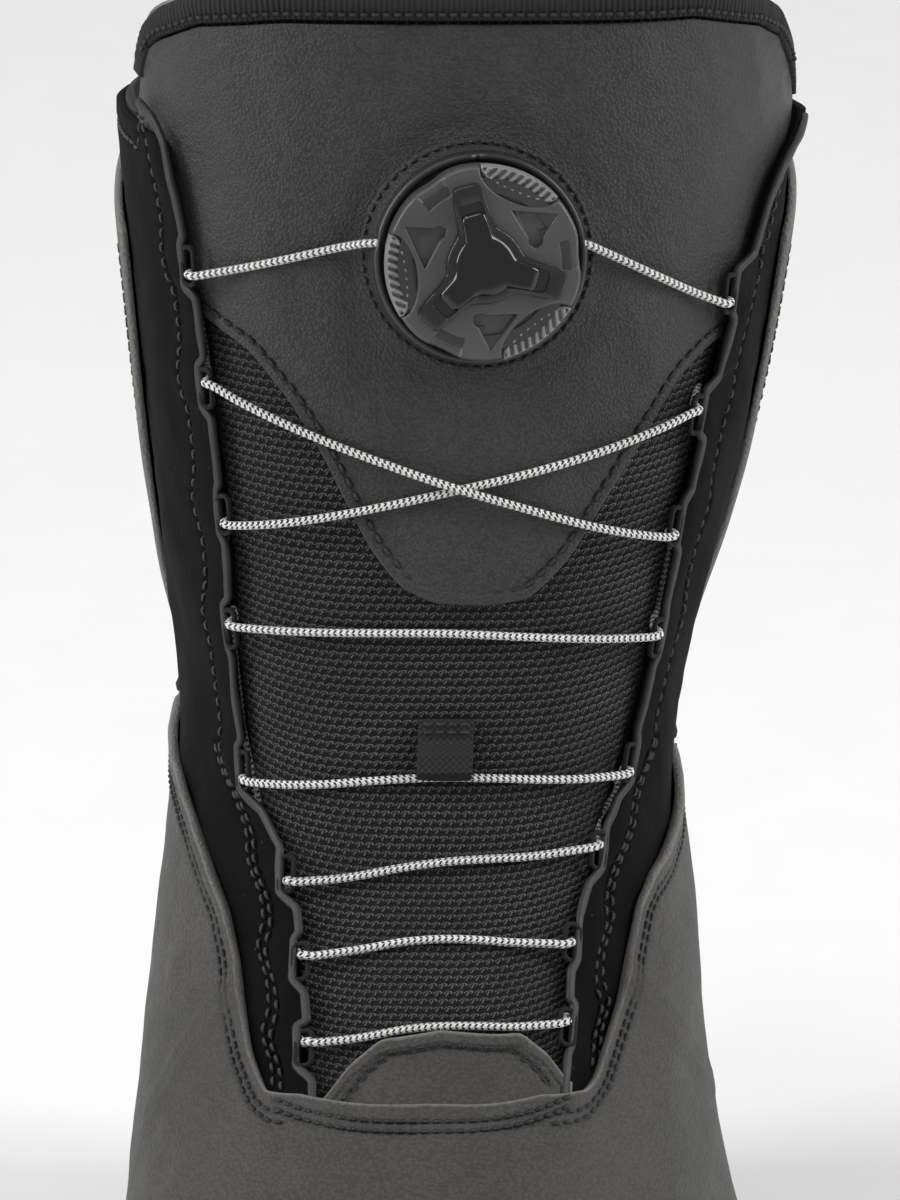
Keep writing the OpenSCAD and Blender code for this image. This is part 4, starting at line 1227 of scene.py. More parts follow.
def tongue_sides(level):
    near_edge = smooth_table(level, *EDGE[-1], 0.15) + 1.2
    low = -np.where(level <= 9.3, near_edge, np.interp(level, [9.3, 9.8, 10.2, 11.1], [48.2, 53, 62, 66]))
    low_side = np.minimum(low, throat(level, -1) + 2.4) - 2.0
    high = np.interp(level, [4.6, 5.9, 6.5, 7.3, 8.8, 9.3, 9.8, 10.2, 11.1],
                     [38, 39, 44, 52, 56, 60, 68, 84, 87])
    return np.maximum(low_side, -68), high


def tongue_place(u, level):
    """Turn and level of a place on the tongue, for shares across and a nominal level."""
    low, high = tongue_sides(level)
    drop = tongue_drop(u) * soft_step((level - 9.6) / 1.2)
    return mix(low, high, u), level - drop


TONGUE_TOP = 11.0
FLEX = (6.55, 7.35)


def tongue_weights(level):
    """0 where the boot holds the tongue, 1 above the ankle bend."""
    return soft_step((level - FLEX[0]) / (FLEX[1] - FLEX[0]))


def knit_relief(turn, level, mid, edge, flat):
    """Ribs across the tongue, each a row of leaning loops. The knit is pressed flat under the leather."""
    u, v = flat[..., 0] + 600 * KNIT[0], flat[..., 1]
    row = v / KNIT[1]
    odd = np.floor(row) % 2
    cu = (u / KNIT[0] + odd * 0.5) % 1 - 0.5
    cv = row % 1 - 0.5
    rib = np.cos(math.pi * cv)
    loop = np.exp(-((cu - 0.45 * cv) / 0.3) ** 2)
    under = soft_step((level - leather_low(turn)) / 0.05)
    return (0.4 * rib * (0.35 + 0.65 * loop)) * soft_step(edge / 2) * (1 - under) - 0.5 * under


def tongue_lift(turn, level):
    """Soft swellings of the tongue, that everything on it follows."""
    at = surface(turn, level)
    fade = 1 - soft_step((level - 8.1) / 0.5)
    return (0.45 * ripple(at, 42, 51) + 0.18 * ripple(at, 17, 52)) * fade


def make_tongue():
    us = np.concatenate([np.linspace(0, 0.12, 8), np.linspace(0.12, 0.88, 250)[1:-1],
                         np.linspace(0.88, 1, 8)])
    levels = np.concatenate([np.linspace(4.66, 9.4, 400), np.linspace(9.4, TONGUE_TOP, 60)[1:]])
    knit = sheet(tongue_place, us, levels, CORE, 1.2, "lrbt", relief=knit_relief, lift=tongue_lift)
    nodes = ("tongue_lower", "tongue_upper")
    piece = build("tongue_knit", knit, PAINT["tongue_knit"], None, nodes)
    bend_with(piece)


# The lower edge of the tongue's leather: turns, then levels.
LEATHER_EDGE = ([-66, -50, -46.5, -37.7, -29.5, -23.7, -18.9, -14, -8,
                 -1.3, 9.3, 17.2, 24.8, 30, 37.3, 45.4, 52, 70],
                [9.36, 9.31, 9.28, 9.18, 8.95, 8.72, 8.47, 8.23, 8.04,
                 7.96, 7.95, 7.98, 8.17, 8.4, 8.72, 9.02, 9.12, 9.2])


def leather_low(turn):
    return smooth_table(turn, *LEATHER_EDGE, 2.0)


def leather_place(u, q):
    """Places on the tongue's leather: rows run from its curved lower edge to the top."""
    low, high = tongue_sides(np.full(np.shape(u), 9.2))
    for _ in range(3):
        start = leather_low(mix(low, high, u))
        level = mix(start, TONGUE_TOP - 0.12, q)
        low, high = tongue_sides(level)
    drop = tongue_drop(u) * soft_step((level - 9.6) / 1.2)
    return mix(low, high, u), level - drop


def leather_line():
    """The lower edge of the tongue's leather, as turns and levels."""
    turns = np.linspace(-52, 56, 90)
    return np.stack([turns, leather_low(turns)], -1)


def leather_relief(turn, level, mid, edge, flat):
    low_edge = seam_distance(mid, [Seam(leather_line(), TONGUE_SKIN[1])])[0]
    band = 0.3 * (1 - soft_step((low_edge - 1.7) / 0.7))
    cut = -0.25 * bell(low_edge, 0.35)
    from_dial = np.linalg.norm(mid - PATCH_AT, axis=-1)
    waves = 0.35 * ripple(mid, 46, 61) + 0.2 * ripple(mid, 15, 62) + 0.06 * ripple(mid, 6, 63)
    waves = waves * soft_step((low_edge - 3) / 6) * soft_step((from_dial - 21) / 8)
    return band + cut + waves - 0.3 * bell(from_dial - 24.5, 2.5)


def make_tongue_leather():
    us = edged(170, 0.01)
    row = Seam(offset_line(leather_line(), 2.35), TONGUE_SKIN[1], 0.35, 0.5)
    qs = np.concatenate([np.linspace(0, 0.05, 14)[:-1], np.linspace(0.05, 1, 200)])
    skin = sheet(leather_place, us, qs, (TONGUE_SKIN[0], TONGUE_SKIN[1] + 0.3), 0.5, "b",
                 relief=leather_relief, seams=[row], lift=tongue_lift)
    build("tongue_leather", skin, PAINT["tongue_leather"], "tongue", "tongue_leather")
    threads = stitches(row, 3.0, 0.7, 0.34, 0.2)
    build("tongue_leather_stitching", threads, PAINT["thread"], "tongue")


def make_tongue_binding():
    """Ribbed tape folded over the tongue's top edge."""
    us = np.linspace(0.004, 0.996, 420)
    turn, level = tongue_place(us, np.full(us.shape, TONGUE_TOP))
    middle = 0.5 * (CORE[0] + TONGUE_SKIN[1])
    path = layer(turn, level, np.full(us.shape, middle))
    out = normal(turn, level)
    ways = tangents(path)
    up = unit(np.cross(out, ways))
    height, half = 3.5, 0.5 * (TONGUE_SKIN[1] - CORE[0]) + 1.05
    fold = [math.pi * k / 8 for k in range(9)]
    profile = [[half * math.cos(a), half * 0.75 * math.sin(a)] for a in fold]
    profile += [[-half, -height], [-half + 0.9, -height - 0.2], [half - 0.9, -height - 0.2], [half, -height]]
    ribs = 1 + 0.02 * np.cos(np.arange(len(us)) * math.pi)
    sign = np.sign(up[len(us) // 2][2])
    tape = sweep(path, out, up * sign, np.array(profile), scale=ribs)
    build("tongue_binding", tape, PAINT["binding_tape"], "tongue", "tongue_binding")
    row = Seam(offset_line(np.stack([turn, level], -1)[6:-6:8], -2.5), middle + half)
    build("tongue_binding_stitching", stitches(row, 2.1, 0.5, 0.33, 0.05), PAINT["thread"], "tongue")


def make_tongue_tab():
    turns = [-30, -24, -21.8, -17.3, -10.5, 3, 23, 30, 36.4, 40]
    levels = [4.86, 4.97, 5.07, 5.27, 5.45, 5.52, 5.46, 5.27, 5.0, 4.9]

    def top(turn):
        return smooth_table(turn, turns, levels, 1.5)

    def relief(turn, level, mid, edge, flat):
        away = (top(turn) - level) * 40
        return 0.5 * (1 - soft_step((away - 3.2) / 0.8)) + 0.15 * ripple(mid, 14, 71)

    def place(u, q):
        turn = mix(-30, 38, u)
        return turn, mix(4.62, top(turn), q)

    seam_turns = np.linspace(-24, 34, 50)
    line = np.stack([seam_turns, top(seam_turns)], -1)
    outer = TONGUE_SKIN[1] + 1.0
    seam = Seam(offset_line(line, -3.2), outer, 0.4, 0.5)
    tab = sheet(place, edged(110), edged(50, 0.04), (TONGUE_SKIN[0], outer), 0.5, "lrt",
                relief=relief, seams=[seam])
    build("tongue_tab", tab, PAINT["leather"], "boot", "tongue_tab")
    threads = stitches(seam, 2.6, 0.6, 0.32, 0.3)
    build("tongue_tab_stitching", threads, PAINT["thread"], "boot")


def make_gussets():
    """Stretch mesh between the tongue and the shell, hidden under the front panels."""
    for side, name in ((-1, "gusset_medial"), (1, "gusset_lateral")):
        def place(u, q):
            level = mix(4.75, 10.2, q)
            return throat(level, side) + side * mix(-1.8, 10.4, u), level

        us, qs = np.linspace(0, 1, 14), np.linspace(0, 1, 90)
        cloth = sheet(place, us, qs, (-5.9, -5.45), 0.2, "lrbt")
        piece = build(name, cloth, PAINT["gusset_mesh"], None, name)
        bend_with(piece)


def make_keeper():
    """A short strap of webbing, sewn flat along its top, with the lace run behind its lower part."""
    def place(u, q):
        return mix(-4.4, 7.4, u) + 0.5, mix(7.05, 7.375, q)

    def bow(turn, level):
        return 2.9 * soft_step((7.27 - level) / 0.08) * soft_step((level - 7.045) / 0.05)

    strap = sheet(place, edged(30), edged(60), (-1.9, -0.7), 0.45, "lrbt", both=True, lift=bow)
    rows = [Seam([[t, l] for t in np.linspace(-3.2, 7.2, 12)], -0.7) for l in (7.352, 7.31)]
    build("lace_keeper", strap, PAINT["webbing"], "tongue", "lace_keeper")
    threads = [stitches(r, 2.0, 0.5, 0.3, -0.1) for r in rows]
    build("lace_keeper_stitching", threads, PAINT["thread_grey"], "tongue")


# ---- dial ----
PATCH_AT = np.array([5.5, 1.53, 267.2])
TILT, SWING = math.radians(8), math.radians(6)
DIAL_X = np.array([math.cos(SWING), math.sin(SWING), 0])
DIAL_Z = np.array([math.sin(SWING) * math.cos(TILT), -math.cos(SWING) * math.cos(TILT), math.sin(TILT)])
DIAL_Y = np.cross(DIAL_Z, DIAL_X)
ARM = 103
PORTS = (169, 8)


def dial(x, y, z):
    x, y, z = np.broadcast_arrays(*(np.asarray(a, float) for a in (x, y, z)))
    return PATCH_AT + x[..., None] * DIAL_X + y[..., None] * DIAL_Y + z[..., None] * DIAL_Z


def under_dial(x, y, depth):
    """Turn and level of the surface point under a place in the dial's plane, and its height there."""
    turn, level = 4 + np.asarray(x, float) * 0.9, 9.05 + np.asarray(y, float) / 38
    for _ in range(14):
        p = layer(turn, level, np.full(turn.shape, depth)) - PATCH_AT
        dx, dy = x - p @ DIAL_X, y - p @ DIAL_Y
        turn = turn + dx / turn_mm(turn, level)
        level = level + dy / level_mm(turn, level)
    p = layer(turn, level, np.full(turn.shape, depth)) - PATCH_AT
    return turn, level, p @ DIAL_Z


def turned(rings, n, shape):
    """A solid of revolution in the dial's frame: rings is a list of [radius, height].
    shape(radius, height, angle) returns changed radii and heights."""
    angles = 2 * math.pi * np.arange(n) / n
    angle, ring = np.meshgrid(angles, np.arange(len(rings)))
    rings = np.array(rings, float)
    r, z = rings[ring, 0], rings[ring, 1]
    r, z = shape(r, z, np.degrees(angle))
    points = dial(r * np.cos(angle), r * np.sin(angle), z)
    m = len(rings)
    k = np.arange(n)
    steps = np.hypot(*np.diff(rings, axis=0).T)
    s = np.concatenate([[0], np.cumsum(steps)])
    faces = [grid_quads(n, m, 0, False, True), k[None, ::-1], (k + (m - 1) * n)[None]]
    return stacked(points, faces, np.stack([angle * 18, s[ring]], -1))


def arms(angle):
    """Angle from the nearest of the dial's three arms, -60 to 60."""
    return (angle - ARM + 60) % 120 - 60


def star(angle, tip, half, waist):
    """Radius of a three-armed outline with straight-sided arms and rounded inner corners."""
    away = np.radians(np.abs(arms(angle)))
    side = half / np.maximum(np.sin(away + 0.06), 0.02) * 1.02
    flat_tip = tip / np.cos(away)
    sharp = 10.0
    arm = (np.minimum(flat_tip, 40) ** -sharp + side ** -sharp) ** (-1 / sharp)
    return (arm ** 9 + waist ** 9) ** (1 / 9)


def star_plate(rings, tip, half, waist):
    """A plate with the star outline. Each ring is [inset from the outline, height]."""
    def shape(r, z, angle):
        outline = star(angle, tip, half, waist)
        return np.maximum(outline - r, 0.01), z
    return turned(rings, 360, shape)


def knob_outline(angle):
    """The knob is round, with flats beside the grips."""
    away = arms(angle)
    return 18.45 - 0.55 * bell(away - 20, 9) + 0.12 * bell(away, 10) - 0.35 * bell(away + 37, 14)


def inside_triangle(x, y, corners):
    """Distance inside a triangle, in mm: below 0 outside."""
    best = np.full(np.shape(x), 1e3)
    for (ax, ay), (bx, by) in zip(corners, corners[1:] + corners[:1]):
        ex, ey = bx - ax, by - ay
        best = np.minimum(best, (ex * (y - ay) - ey * (x - ax)) / math.hypot(ex, ey))
    return best


def polar(r, degrees):
    return r * math.cos(math.radians(degrees)), r * math.sin(math.radians(degrees))


def knob_height(r, angle):
    """Height of the knob's face: a dome with a sunk pocket, a hole and a flat panel between the arms."""
    away = (angle - ARM) % 120
    x, y = r * np.cos(np.radians(away)), r * np.sin(np.radians(away))
    z = 10.75 - 0.0032 * r * r
    pocket = [polar(9.9, 31), polar(17.0, 50), polar(11.4, 82)]
    depth = inside_triangle(x, y, pocket)
    hx, hy = polar(10.6, 41)
    to_hole = np.hypot(x - hx, y - hy)
    z = z - (1.1 + 1.3 * np.exp(-to_hole / 3.5)) * soft_step(depth / 0.7)
    z = z - 2.4 * soft_step((1.45 - to_hole) / 0.5)
    panel = np.minimum(np.minimum(r - 14.4, (away - 11) * 0.3), (32 - away) * 0.3)
    z = z - 0.7 * soft_step(panel / 0.5)
    gx, gy = polar(17.2, 83)
    tilt = np.radians(83)
    along_grip = -(x - gx) * np.sin(tilt) + (y - gy) * np.cos(tilt)
    out_grip = (x - gx) * np.cos(tilt) + (y - gy) * np.sin(tilt)
    grip = np.sqrt((along_grip / 8.4) ** 2 + (np.minimum(out_grip, 0) / 4.6) ** 2)
    return z - 1.3 * soft_step((1.0 - grip) / 0.1)


def make_knob():
    shares = np.concatenate([np.linspace(0.0005, 0.4, 12), np.linspace(0.4, 0.97, 88)[1:]])
    rim = [(0.985, -0.12), (1.0, -0.45), (1.006, -1.0), (1.008, -2.4), (1.008, -5.9), (1.0, -6.2)]
    under = [(17.0, 4.42), (16.85, 4.6), (16.85, 8.8), (13, 8.95), (0.01, 8.95)]
    top = [[s, 0.0] for s in shares] + [list(r) for r in rim]
    rings = [list(u) for u in under[::-1]] + top[::-1]
    count = len(under)

    def shape(r, z, angle):
        outline = knob_outline(angle)
        row = np.arange(len(rings))[:, None] + 0 * r
        radius = np.where(row < count, r, r * outline)
        face = knob_height(np.minimum(radius, outline * 0.97), angle)
        drop = np.where(z > -2, face + z, np.maximum(4.42, 10.5 + z))
        return radius, np.where(row < count, z, drop)

    knob = turned(rings, 360, shape)
    build("dial_knob", knob, PAINT["dial_black"], "knob", "knob_core", sharp=50)


GRIP_OUTER = 18.75
GRIP_HALF = 7.9


def make_grips():
    """Three leaf-shaped pads with slanting ribs."""
    n, m = 110, 26
    u, v = np.meshgrid(np.linspace(-1, 1, n), np.linspace(0, 1, m))
    width = 4.4 * (1 - np.abs(u) ** 2.2) ** 0.6 + 0.05
    x = u * GRIP_HALF
    rim = np.sqrt(GRIP_OUTER ** 2 - x ** 2)
    out = rim - width * (1 - v)
    slant = x * 0.95 - (out - 14) * 0.5
    rib = 0.5 + 0.5 * np.sin(slant * 2 * math.pi / 1.55)
    inset = np.minimum(np.minimum(v, 1 - v) * width, (1 - np.abs(u)) * GRIP_HALF)
    ribs = 0.95 * soft_step(rib * 1.2) * soft_step((inset - 0.3) / 0.4)
    z = 9.75 - 0.0032 * rim ** 2 + ribs + 0.75 * bell(inset - 0.35, 0.3)
    z = z - 1.2 * soft_step((v - 0.86) / 0.14)
    uv = np.stack([x, out], -1).reshape(-1, 2)
    pads = []
    for k in range(3):
        a = math.radians(ARM + 83 + 120 * k)
        px, py = out * math.cos(a) + x * math.sin(a), out * math.sin(a) - x * math.cos(a)
        top = dial(px, py, z).reshape(-1, 3)
        low = dial(px, py, np.full(z.shape, 7.2)).reshape(-1, 3)
        pads.append(block(top, low, uv, n, m))
    build("dial_grips", pads, PAINT["grip_rubber"], "knob", "knob_grips", sharp=55)


def make_cover():
    frame_rings = [(9, 10.0), (0, 10.0), (-0.05, 10.7), (0.02, 11.5), (0.25, 11.78), (0.6, 11.86),
                   (3.1, 12.1), (3.35, 11.95), (3.5, 11.5), (9, 11.5), (99, 11.5)]
    cover = star_plate(frame_rings, 15.6, 3.75, 7.3)
    gloss_rings = [(99, 11.4), (0.0, 11.4), (0.0, 12.05), (0.22, 12.3), (0.9, 12.62), (1.05, 12.66),
                   (1.6, 12.7), (3, 12.72), (99, 12.73)]
    gloss = star_plate(gloss_rings, 10.2, 2.95, 5.6)
    build("dial_cover", cover, PAINT["dial_cover"], "knob", "knob_cover", sharp=40)
    build("dial_badge", gloss, PAINT["dial_gloss"], "knob", sharp=40)


def make_dial_base():
    rings = [(0.01, 8.4), (2.4, 8.4), (2.6, 8.2), (2.6, 1.5), (15.2, 1.5), (15.2, 7.9), (15.4, 8.0),
             (16.3, 8.0), (16.5, 7.9), (16.5, 1.6), (18.3, 1.6), (18.45, 2.6), (18.8, 3.35), (19.2, 3.75),
             (19.7, 3.8), (20.1, 3.5), (20.35, 2.9), (20.4, 2.2), (20.4, 1.6), (20.4, 1.0), (20.4, 0.5),
             (20.2, 0.02), (0.01, 0.0)]

    def shape(r, z, angle):
        rim = r > 18
        notch = 0.8 * bell(((angle - 91) + 180) % 360 - 180, 2.4) * (z > 2)
        port = sum(bell(((angle - p) + 180) % 360 - 180, 3.6) for p in PORTS)
        inset = 2.2 * port * rim * bell(z - 1.6, 1.1)
        return r - inset * (r > 20), z - notch * rim

    base = turned(rings, 360, shape)
    build("dial_housing", base, PAINT["dial_rim"], "tongue", "dial_base", sharp=45)


def make_patch():
    """A ring of leather under the dial, laid on the tongue and sewn round its edge."""
    n = 360
    angle = 2 * math.pi * np.arange(n) / n
    radii = [12, 17, 19.0, 20.2, 20.6, 20.9, 21.2, 21.45, 21.7, 21.95, 22.1, 22.25, 22.3]
    rows = []
    for r in radii:
        x, y = r * np.cos(angle), r * np.sin(angle)
        below = under_dial(x, y, TONGUE_SKIN[1] + 0.2)[2]
        share = soft_step((r - 18.8) / 3.2)
        rounded = 0.9 - 0.9 * soft_step((r - 21.8) / 0.5) - 0.25 * bell(r - 21.5, 0.3)
        rows.append(dial(x, y, mix(-0.05, below + 0.5 + 0.45 * rounded, share)))
    for r, down in ((22.25, 0.3), (12, 0.4)):
        x, y = r * np.cos(angle), r * np.sin(angle)
        below = under_dial(x, y, TONGUE_SKIN[1] + 0.2)[2]
        rows.append(dial(x, y, np.minimum(below, -0.3) - down))
    points = np.array(rows)
    m = len(rows)
    quads = grid_quads(n, m + 1, 0, True, True) % (n * m)
    r_all = np.array(radii + [22.25, 12])
    uv = np.stack(np.meshgrid(angle * 22, r_all), -1).reshape(-1, 2)
    edge = np.repeat(np.clip(22.3 - r_all, 0, 99), n) + 0.4
    # These seam values give the patch leather a painted shade ring along the groove of its stitch line.
    seam = np.repeat(np.abs(r_all - 21.55), n)
    ring = bit(points.reshape(-1, 3), [quads], uv, edge=edge, seam=seam)
    build("dial_patch", ring, PAINT["patch_leather"], "tongue", "dial_patch")
    circle = np.radians(np.linspace(0, 360, 73))
    turn, level, _ = under_dial(21.75 * np.cos(circle), 21.75 * np.sin(circle), TONGUE_SKIN[1] + 1.0)
    seam_line = Seam(np.stack([turn, level], -1), TONGUE_SKIN[1] + 1.0)
    build("dial_patch_stitching", stitches(seam_line, 2.4, 0.6, 0.33, 0.1), PAINT["thread"], "tongue")


# ---- lace ----
LACE_R = 0.8
BEHIND = -3.3
HIDDEN_OUT = 6.0
ON_KNIT = -1.15
ON_LEATHER = 0.35


def near(side, i, out, up, depth):
    """Place by a lace window: out and up are mm from its middle, out away from the throat."""
    turn, level = WINDOWS[side][i]
    t = side * turn
    return (t + side * out / float(turn_mm(t, level)), level + up / float(level_mm(t, level)), depth)


PASS = 1.3


def bar_top(side, i):
    """Depth of a lace that lies over a window's inner bar."""
    return SKIN[1] + float(flare(WINDOWS[side][i][1])) + 0.65 + LACE_R


def entering(side, i, way):
    """The lace over a window's inner bar and down through it. way is the end of the window it runs to."""
    y, top = way * PASS, bar_top(side, i)
    under = SKIN[0] + float(flare(WINDOWS[side][i][1])) - LACE_R - 0.2
    spots = [(-2.4, y, top - 0.12), (-1.5, y, top), (-0.5, y, top - 0.55),
             (0.6, y + way * 0.3, under + 1.2), (2.6, y + way * 1.2, under)]
    return [near(side, i, *spot) for spot in spots]


def leaving(side, i, way):
    return entering(side, i, way)[::-1]


def hidden(side, i, j):
    """The lace behind the panel from window i down to window j."""
    return [near(side, i, HIDDEN_OUT, -4.5, BEHIND), near(side, j, HIDDEN_OUT, 4.5, BEHIND)]


def taut(a, b, top_a, top_b, height, arch=0.0, hop=0.0):
    """A taut run over the tongue from place a to place b. It starts and ends at the heights of two bars."""
    places = []
    for t in (0.06, 0.13, 0.22, 0.35, 0.5, 0.65, 0.78, 0.87, 0.94):
        bow = 1 - (2 * t - 1) ** 2
        rise = (top_a - height) * max(0, 1 - t / 0.27) ** 1.6
        rise = rise + (top_b - height) * max(0, 1 - (1 - t) / 0.27) ** 1.6
        middle = hop * math.exp(-((t - 0.5) / 0.1) ** 2)
        turn, level = mix(a[0], b[0], t), mix(a[1], b[1], t) + arch * bow
        swell = max(-0.2, float(tongue_lift(turn, level)))
        places.append((turn, level, height + rise + middle + swell))
    return places


def across(side, i, j, way_i, way_j, height, arch=0.0, hop=0.0):
    """A run from window i on one side to window j on the other. The ways are those of entering()."""
    a, b = near(side, i, -2.4, way_i * PASS, 0), near(-side, j, -2.4, way_j * PASS, 0)
    return taut(a, b, bar_top(side, i), bar_top(-side, j), height, arch, hop)


def run_points(places):
    places = np.array(places, float)
    return layer(places[:, 0], places[:, 1], places[:, 2])


def smooth_path(points, spacing=0.9):
    """Evenly spaced points along a curve through the given ones."""
    points = np.asarray(points, float)
    knots = np.concatenate([[0], np.cumsum(np.linalg.norm(np.diff(points, axis=0), axis=1) ** 0.5)])
    slopes = np.zeros_like(points)
    h = np.diff(knots)[:, None]
    d = np.diff(points, axis=0) / h
    slopes[1:-1] = (h[1:] * d[:-1] + h[:-1] * d[1:]) / (h[1:] + h[:-1])
    slopes[0], slopes[-1] = d[0], d[-1]
    fine = []
    for k in range(len(points) - 1):
        t = np.linspace(0, 1, 24, endpoint=False)[:, None]
        a, b, w = points[k], points[k + 1], h[k]
        fine.append((2 * t ** 3 - 3 * t ** 2 + 1) * a + (t ** 3 - 2 * t ** 2 + t) * w * slopes[k]
                    + (3 * t ** 2 - 2 * t ** 3) * b + (t ** 3 - t ** 2) * w * slopes[k + 1])
    fine = np.concatenate(fine + [points[-1:]])
    gaps = np.concatenate([[0], np.cumsum(np.linalg.norm(np.diff(fine, axis=0), axis=1))])
    s = np.linspace(0, gaps[-1], int(gaps[-1] / spacing) + 2)
    return np.stack([np.interp(s, gaps, fine[:, k]) for k in range(3)], -1)


def port_run(which, side):
    """The lace from one of the dial's ports to the top window on that side."""
    a = math.radians(PORTS[which])
    out = [dial(r * math.cos(a), r * math.sin(a), z) for r, z in ((14.5, 2.2), (17.5, 2.1))]
    turn, level, below = under_dial(19.0 * np.cos([a]), 19.0 * np.sin([a]), 0.0)
    end = near(side, 0, -2.4, -PASS, 0)
    start = 2.0 - float(below[0])
    run = taut((float(turn[0]), float(level[0])), end, start, bar_top(side, 0), ON_LEATHER + 0.1)
    return np.concatenate([out, run_points(run + entering(side, 0, -1) + hidden(side, 0, 1))])


def lace_weights(path, guides):
    """0 at the guides and behind the panels, the tongue's own weight on the tongue."""
    windows = run_points([near(s, i, -1.6, 0, 0) for s, i in guides])
    gap = np.min(np.linalg.norm(path[:, None] - windows[None], axis=2), axis=1)
    turn, level = np.meshgrid(np.linspace(-75, 85, 81), np.linspace(6.2, 10.4, 85))
    spots = surface(turn, level).reshape(-1, 3)
    nearest = np.array([np.argmin(np.sum((spots - point) ** 2, axis=1)) for point in path])
    side = turn.ravel()[nearest]
    level = level.ravel()[nearest]
    inside = np.where(side < 0, side > -edge_turn(level, -1), side < edge_turn(level, 1))
    return soft_step((gap - 3.5) / 5) * tongue_weights(level) * inside


def make_laces():
    one = np.concatenate([port_run(0, -1), run_points(
        leaving(-1, 1, 1) + across(-1, 1, 2, 1, -1, ON_LEATHER, -0.03, 1.75)
        + entering(1, 2, -1) + hidden(1, 2, 3) + leaving(1, 3, 1) + across(1, 3, 3, 1, 1, ON_KNIT, 0.1)
        + entering(-1, 3, 1) + hidden(-1, 3, 4) + leaving(-1, 4, -1)
        + across(-1, 4, 4, -1, -1, ON_KNIT, 0.16) + entering(1, 4, -1))])
    other = np.concatenate([port_run(1, 1), run_points(
        leaving(1, 1, 1) + across(1, 1, 2, 1, -1, ON_LEATHER, -0.02) + entering(-1, 2, -1))])
    guides = [(side, i) for side in (-1, 1) for i in range(5)]
    tubes, weights = [], []
    for points in (one, other):
        path = smooth_path(points)
        tubes.append(tube(path, LACE_R))
        weights.append(np.repeat(lace_weights(path, guides), 14))
    upper = build("lace_upper_run", tubes, PAINT["lace_white"], None, "lace_upper")
    bend_with(upper)
    levels = (5.5, 6.15, 6.7, 7.3, 7.45, 7.95)
    channel = [(-float(edge_turn(level, -1)) - 6.4, level, BEHIND) for level in levels]
    low = run_points(
        [near(1, 4, 2.6, -3, BEHIND), near(1, 4, 3.4, -7, BEHIND), near(1, 5, 3.2, 5, BEHIND)]
        + leaving(1, 5, 1) + across(1, 5, 5, 1, -1, ON_KNIT, 0.14)
        + entering(-1, 5, -1) + hidden(-1, 5, 6) + leaving(-1, 6, 1) + across(-1, 6, 6, 1, 0, ON_KNIT, 0.18)
        + entering(1, 6, 0) + hidden(1, 6, 7) + leaving(1, 7, 1) + across(1, 7, 7, 1, 1, ON_KNIT, 0.17)
        + entering(-1, 7, 1) + channel + [near(-1, 2, HIDDEN_OUT, -7, BEHIND)])
    lower = tube(smooth_path(low), LACE_R)
    build("lace_lower_run", lower, PAINT["lace_white"], "boot", "lace_lower")


# ---- inner boot ----
def quilt(flat, pitch):
    """Soft pads between diagonal lines, 0 to 1."""
    a = (flat[..., 0] + flat[..., 1]) / pitch
    b = (flat[..., 0] - flat[..., 1]) / pitch
    return np.sqrt(np.abs(np.sin(math.pi * a) * np.sin(math.pi * b)))


def liner_relief(turn, level, mid, edge, flat):
    pads = -1.1 * (1 - quilt(flat, 26)) * soft_step((edge - 9) / 5)
    return pads - 0.5 * bell(edge - 8, 0.9) + 0.25 * ripple(mid, 20, 81)


def plate(outline, rows, middle=(0, 0)):
    """A solid of stacked outlines: outline(grow) gives a ring of points, rows are [grow, height],
    where a grow of None is the middle."""
    rings = []
    for grow, z in rows:
        ring = np.tile(middle, (N_PLATE, 1)) + 0.001 * outline(0) if grow is None else outline(grow)
        rings.append(np.concatenate([ring, np.full((len(ring), 1), z)], 1))
    points = np.array(rings)
    n, m = points.shape[1], points.shape[0]
    k = np.arange(n)
    faces = [grid_quads(n, m, 0, False, True), k[None, ::-1], (k + (m - 1) * n)[None]]
    return points, faces


N_PLATE = 360


def outline_at(level):
    """Outline of the boot at a level, moved outwards by grow mm."""
    turns = -180 + 360 * np.arange(N_PLATE) / N_PLATE
    base = surface(turns, level)[:, :2]
    way = np.roll(base, -1, 0) - np.roll(base, 1, 0)
    out = unit(np.stack([way[:, 1], -way[:, 0]], -1))

    def outline(grow):
        return base + out * np.reshape(grow, (-1, 1))
    return outline, turns


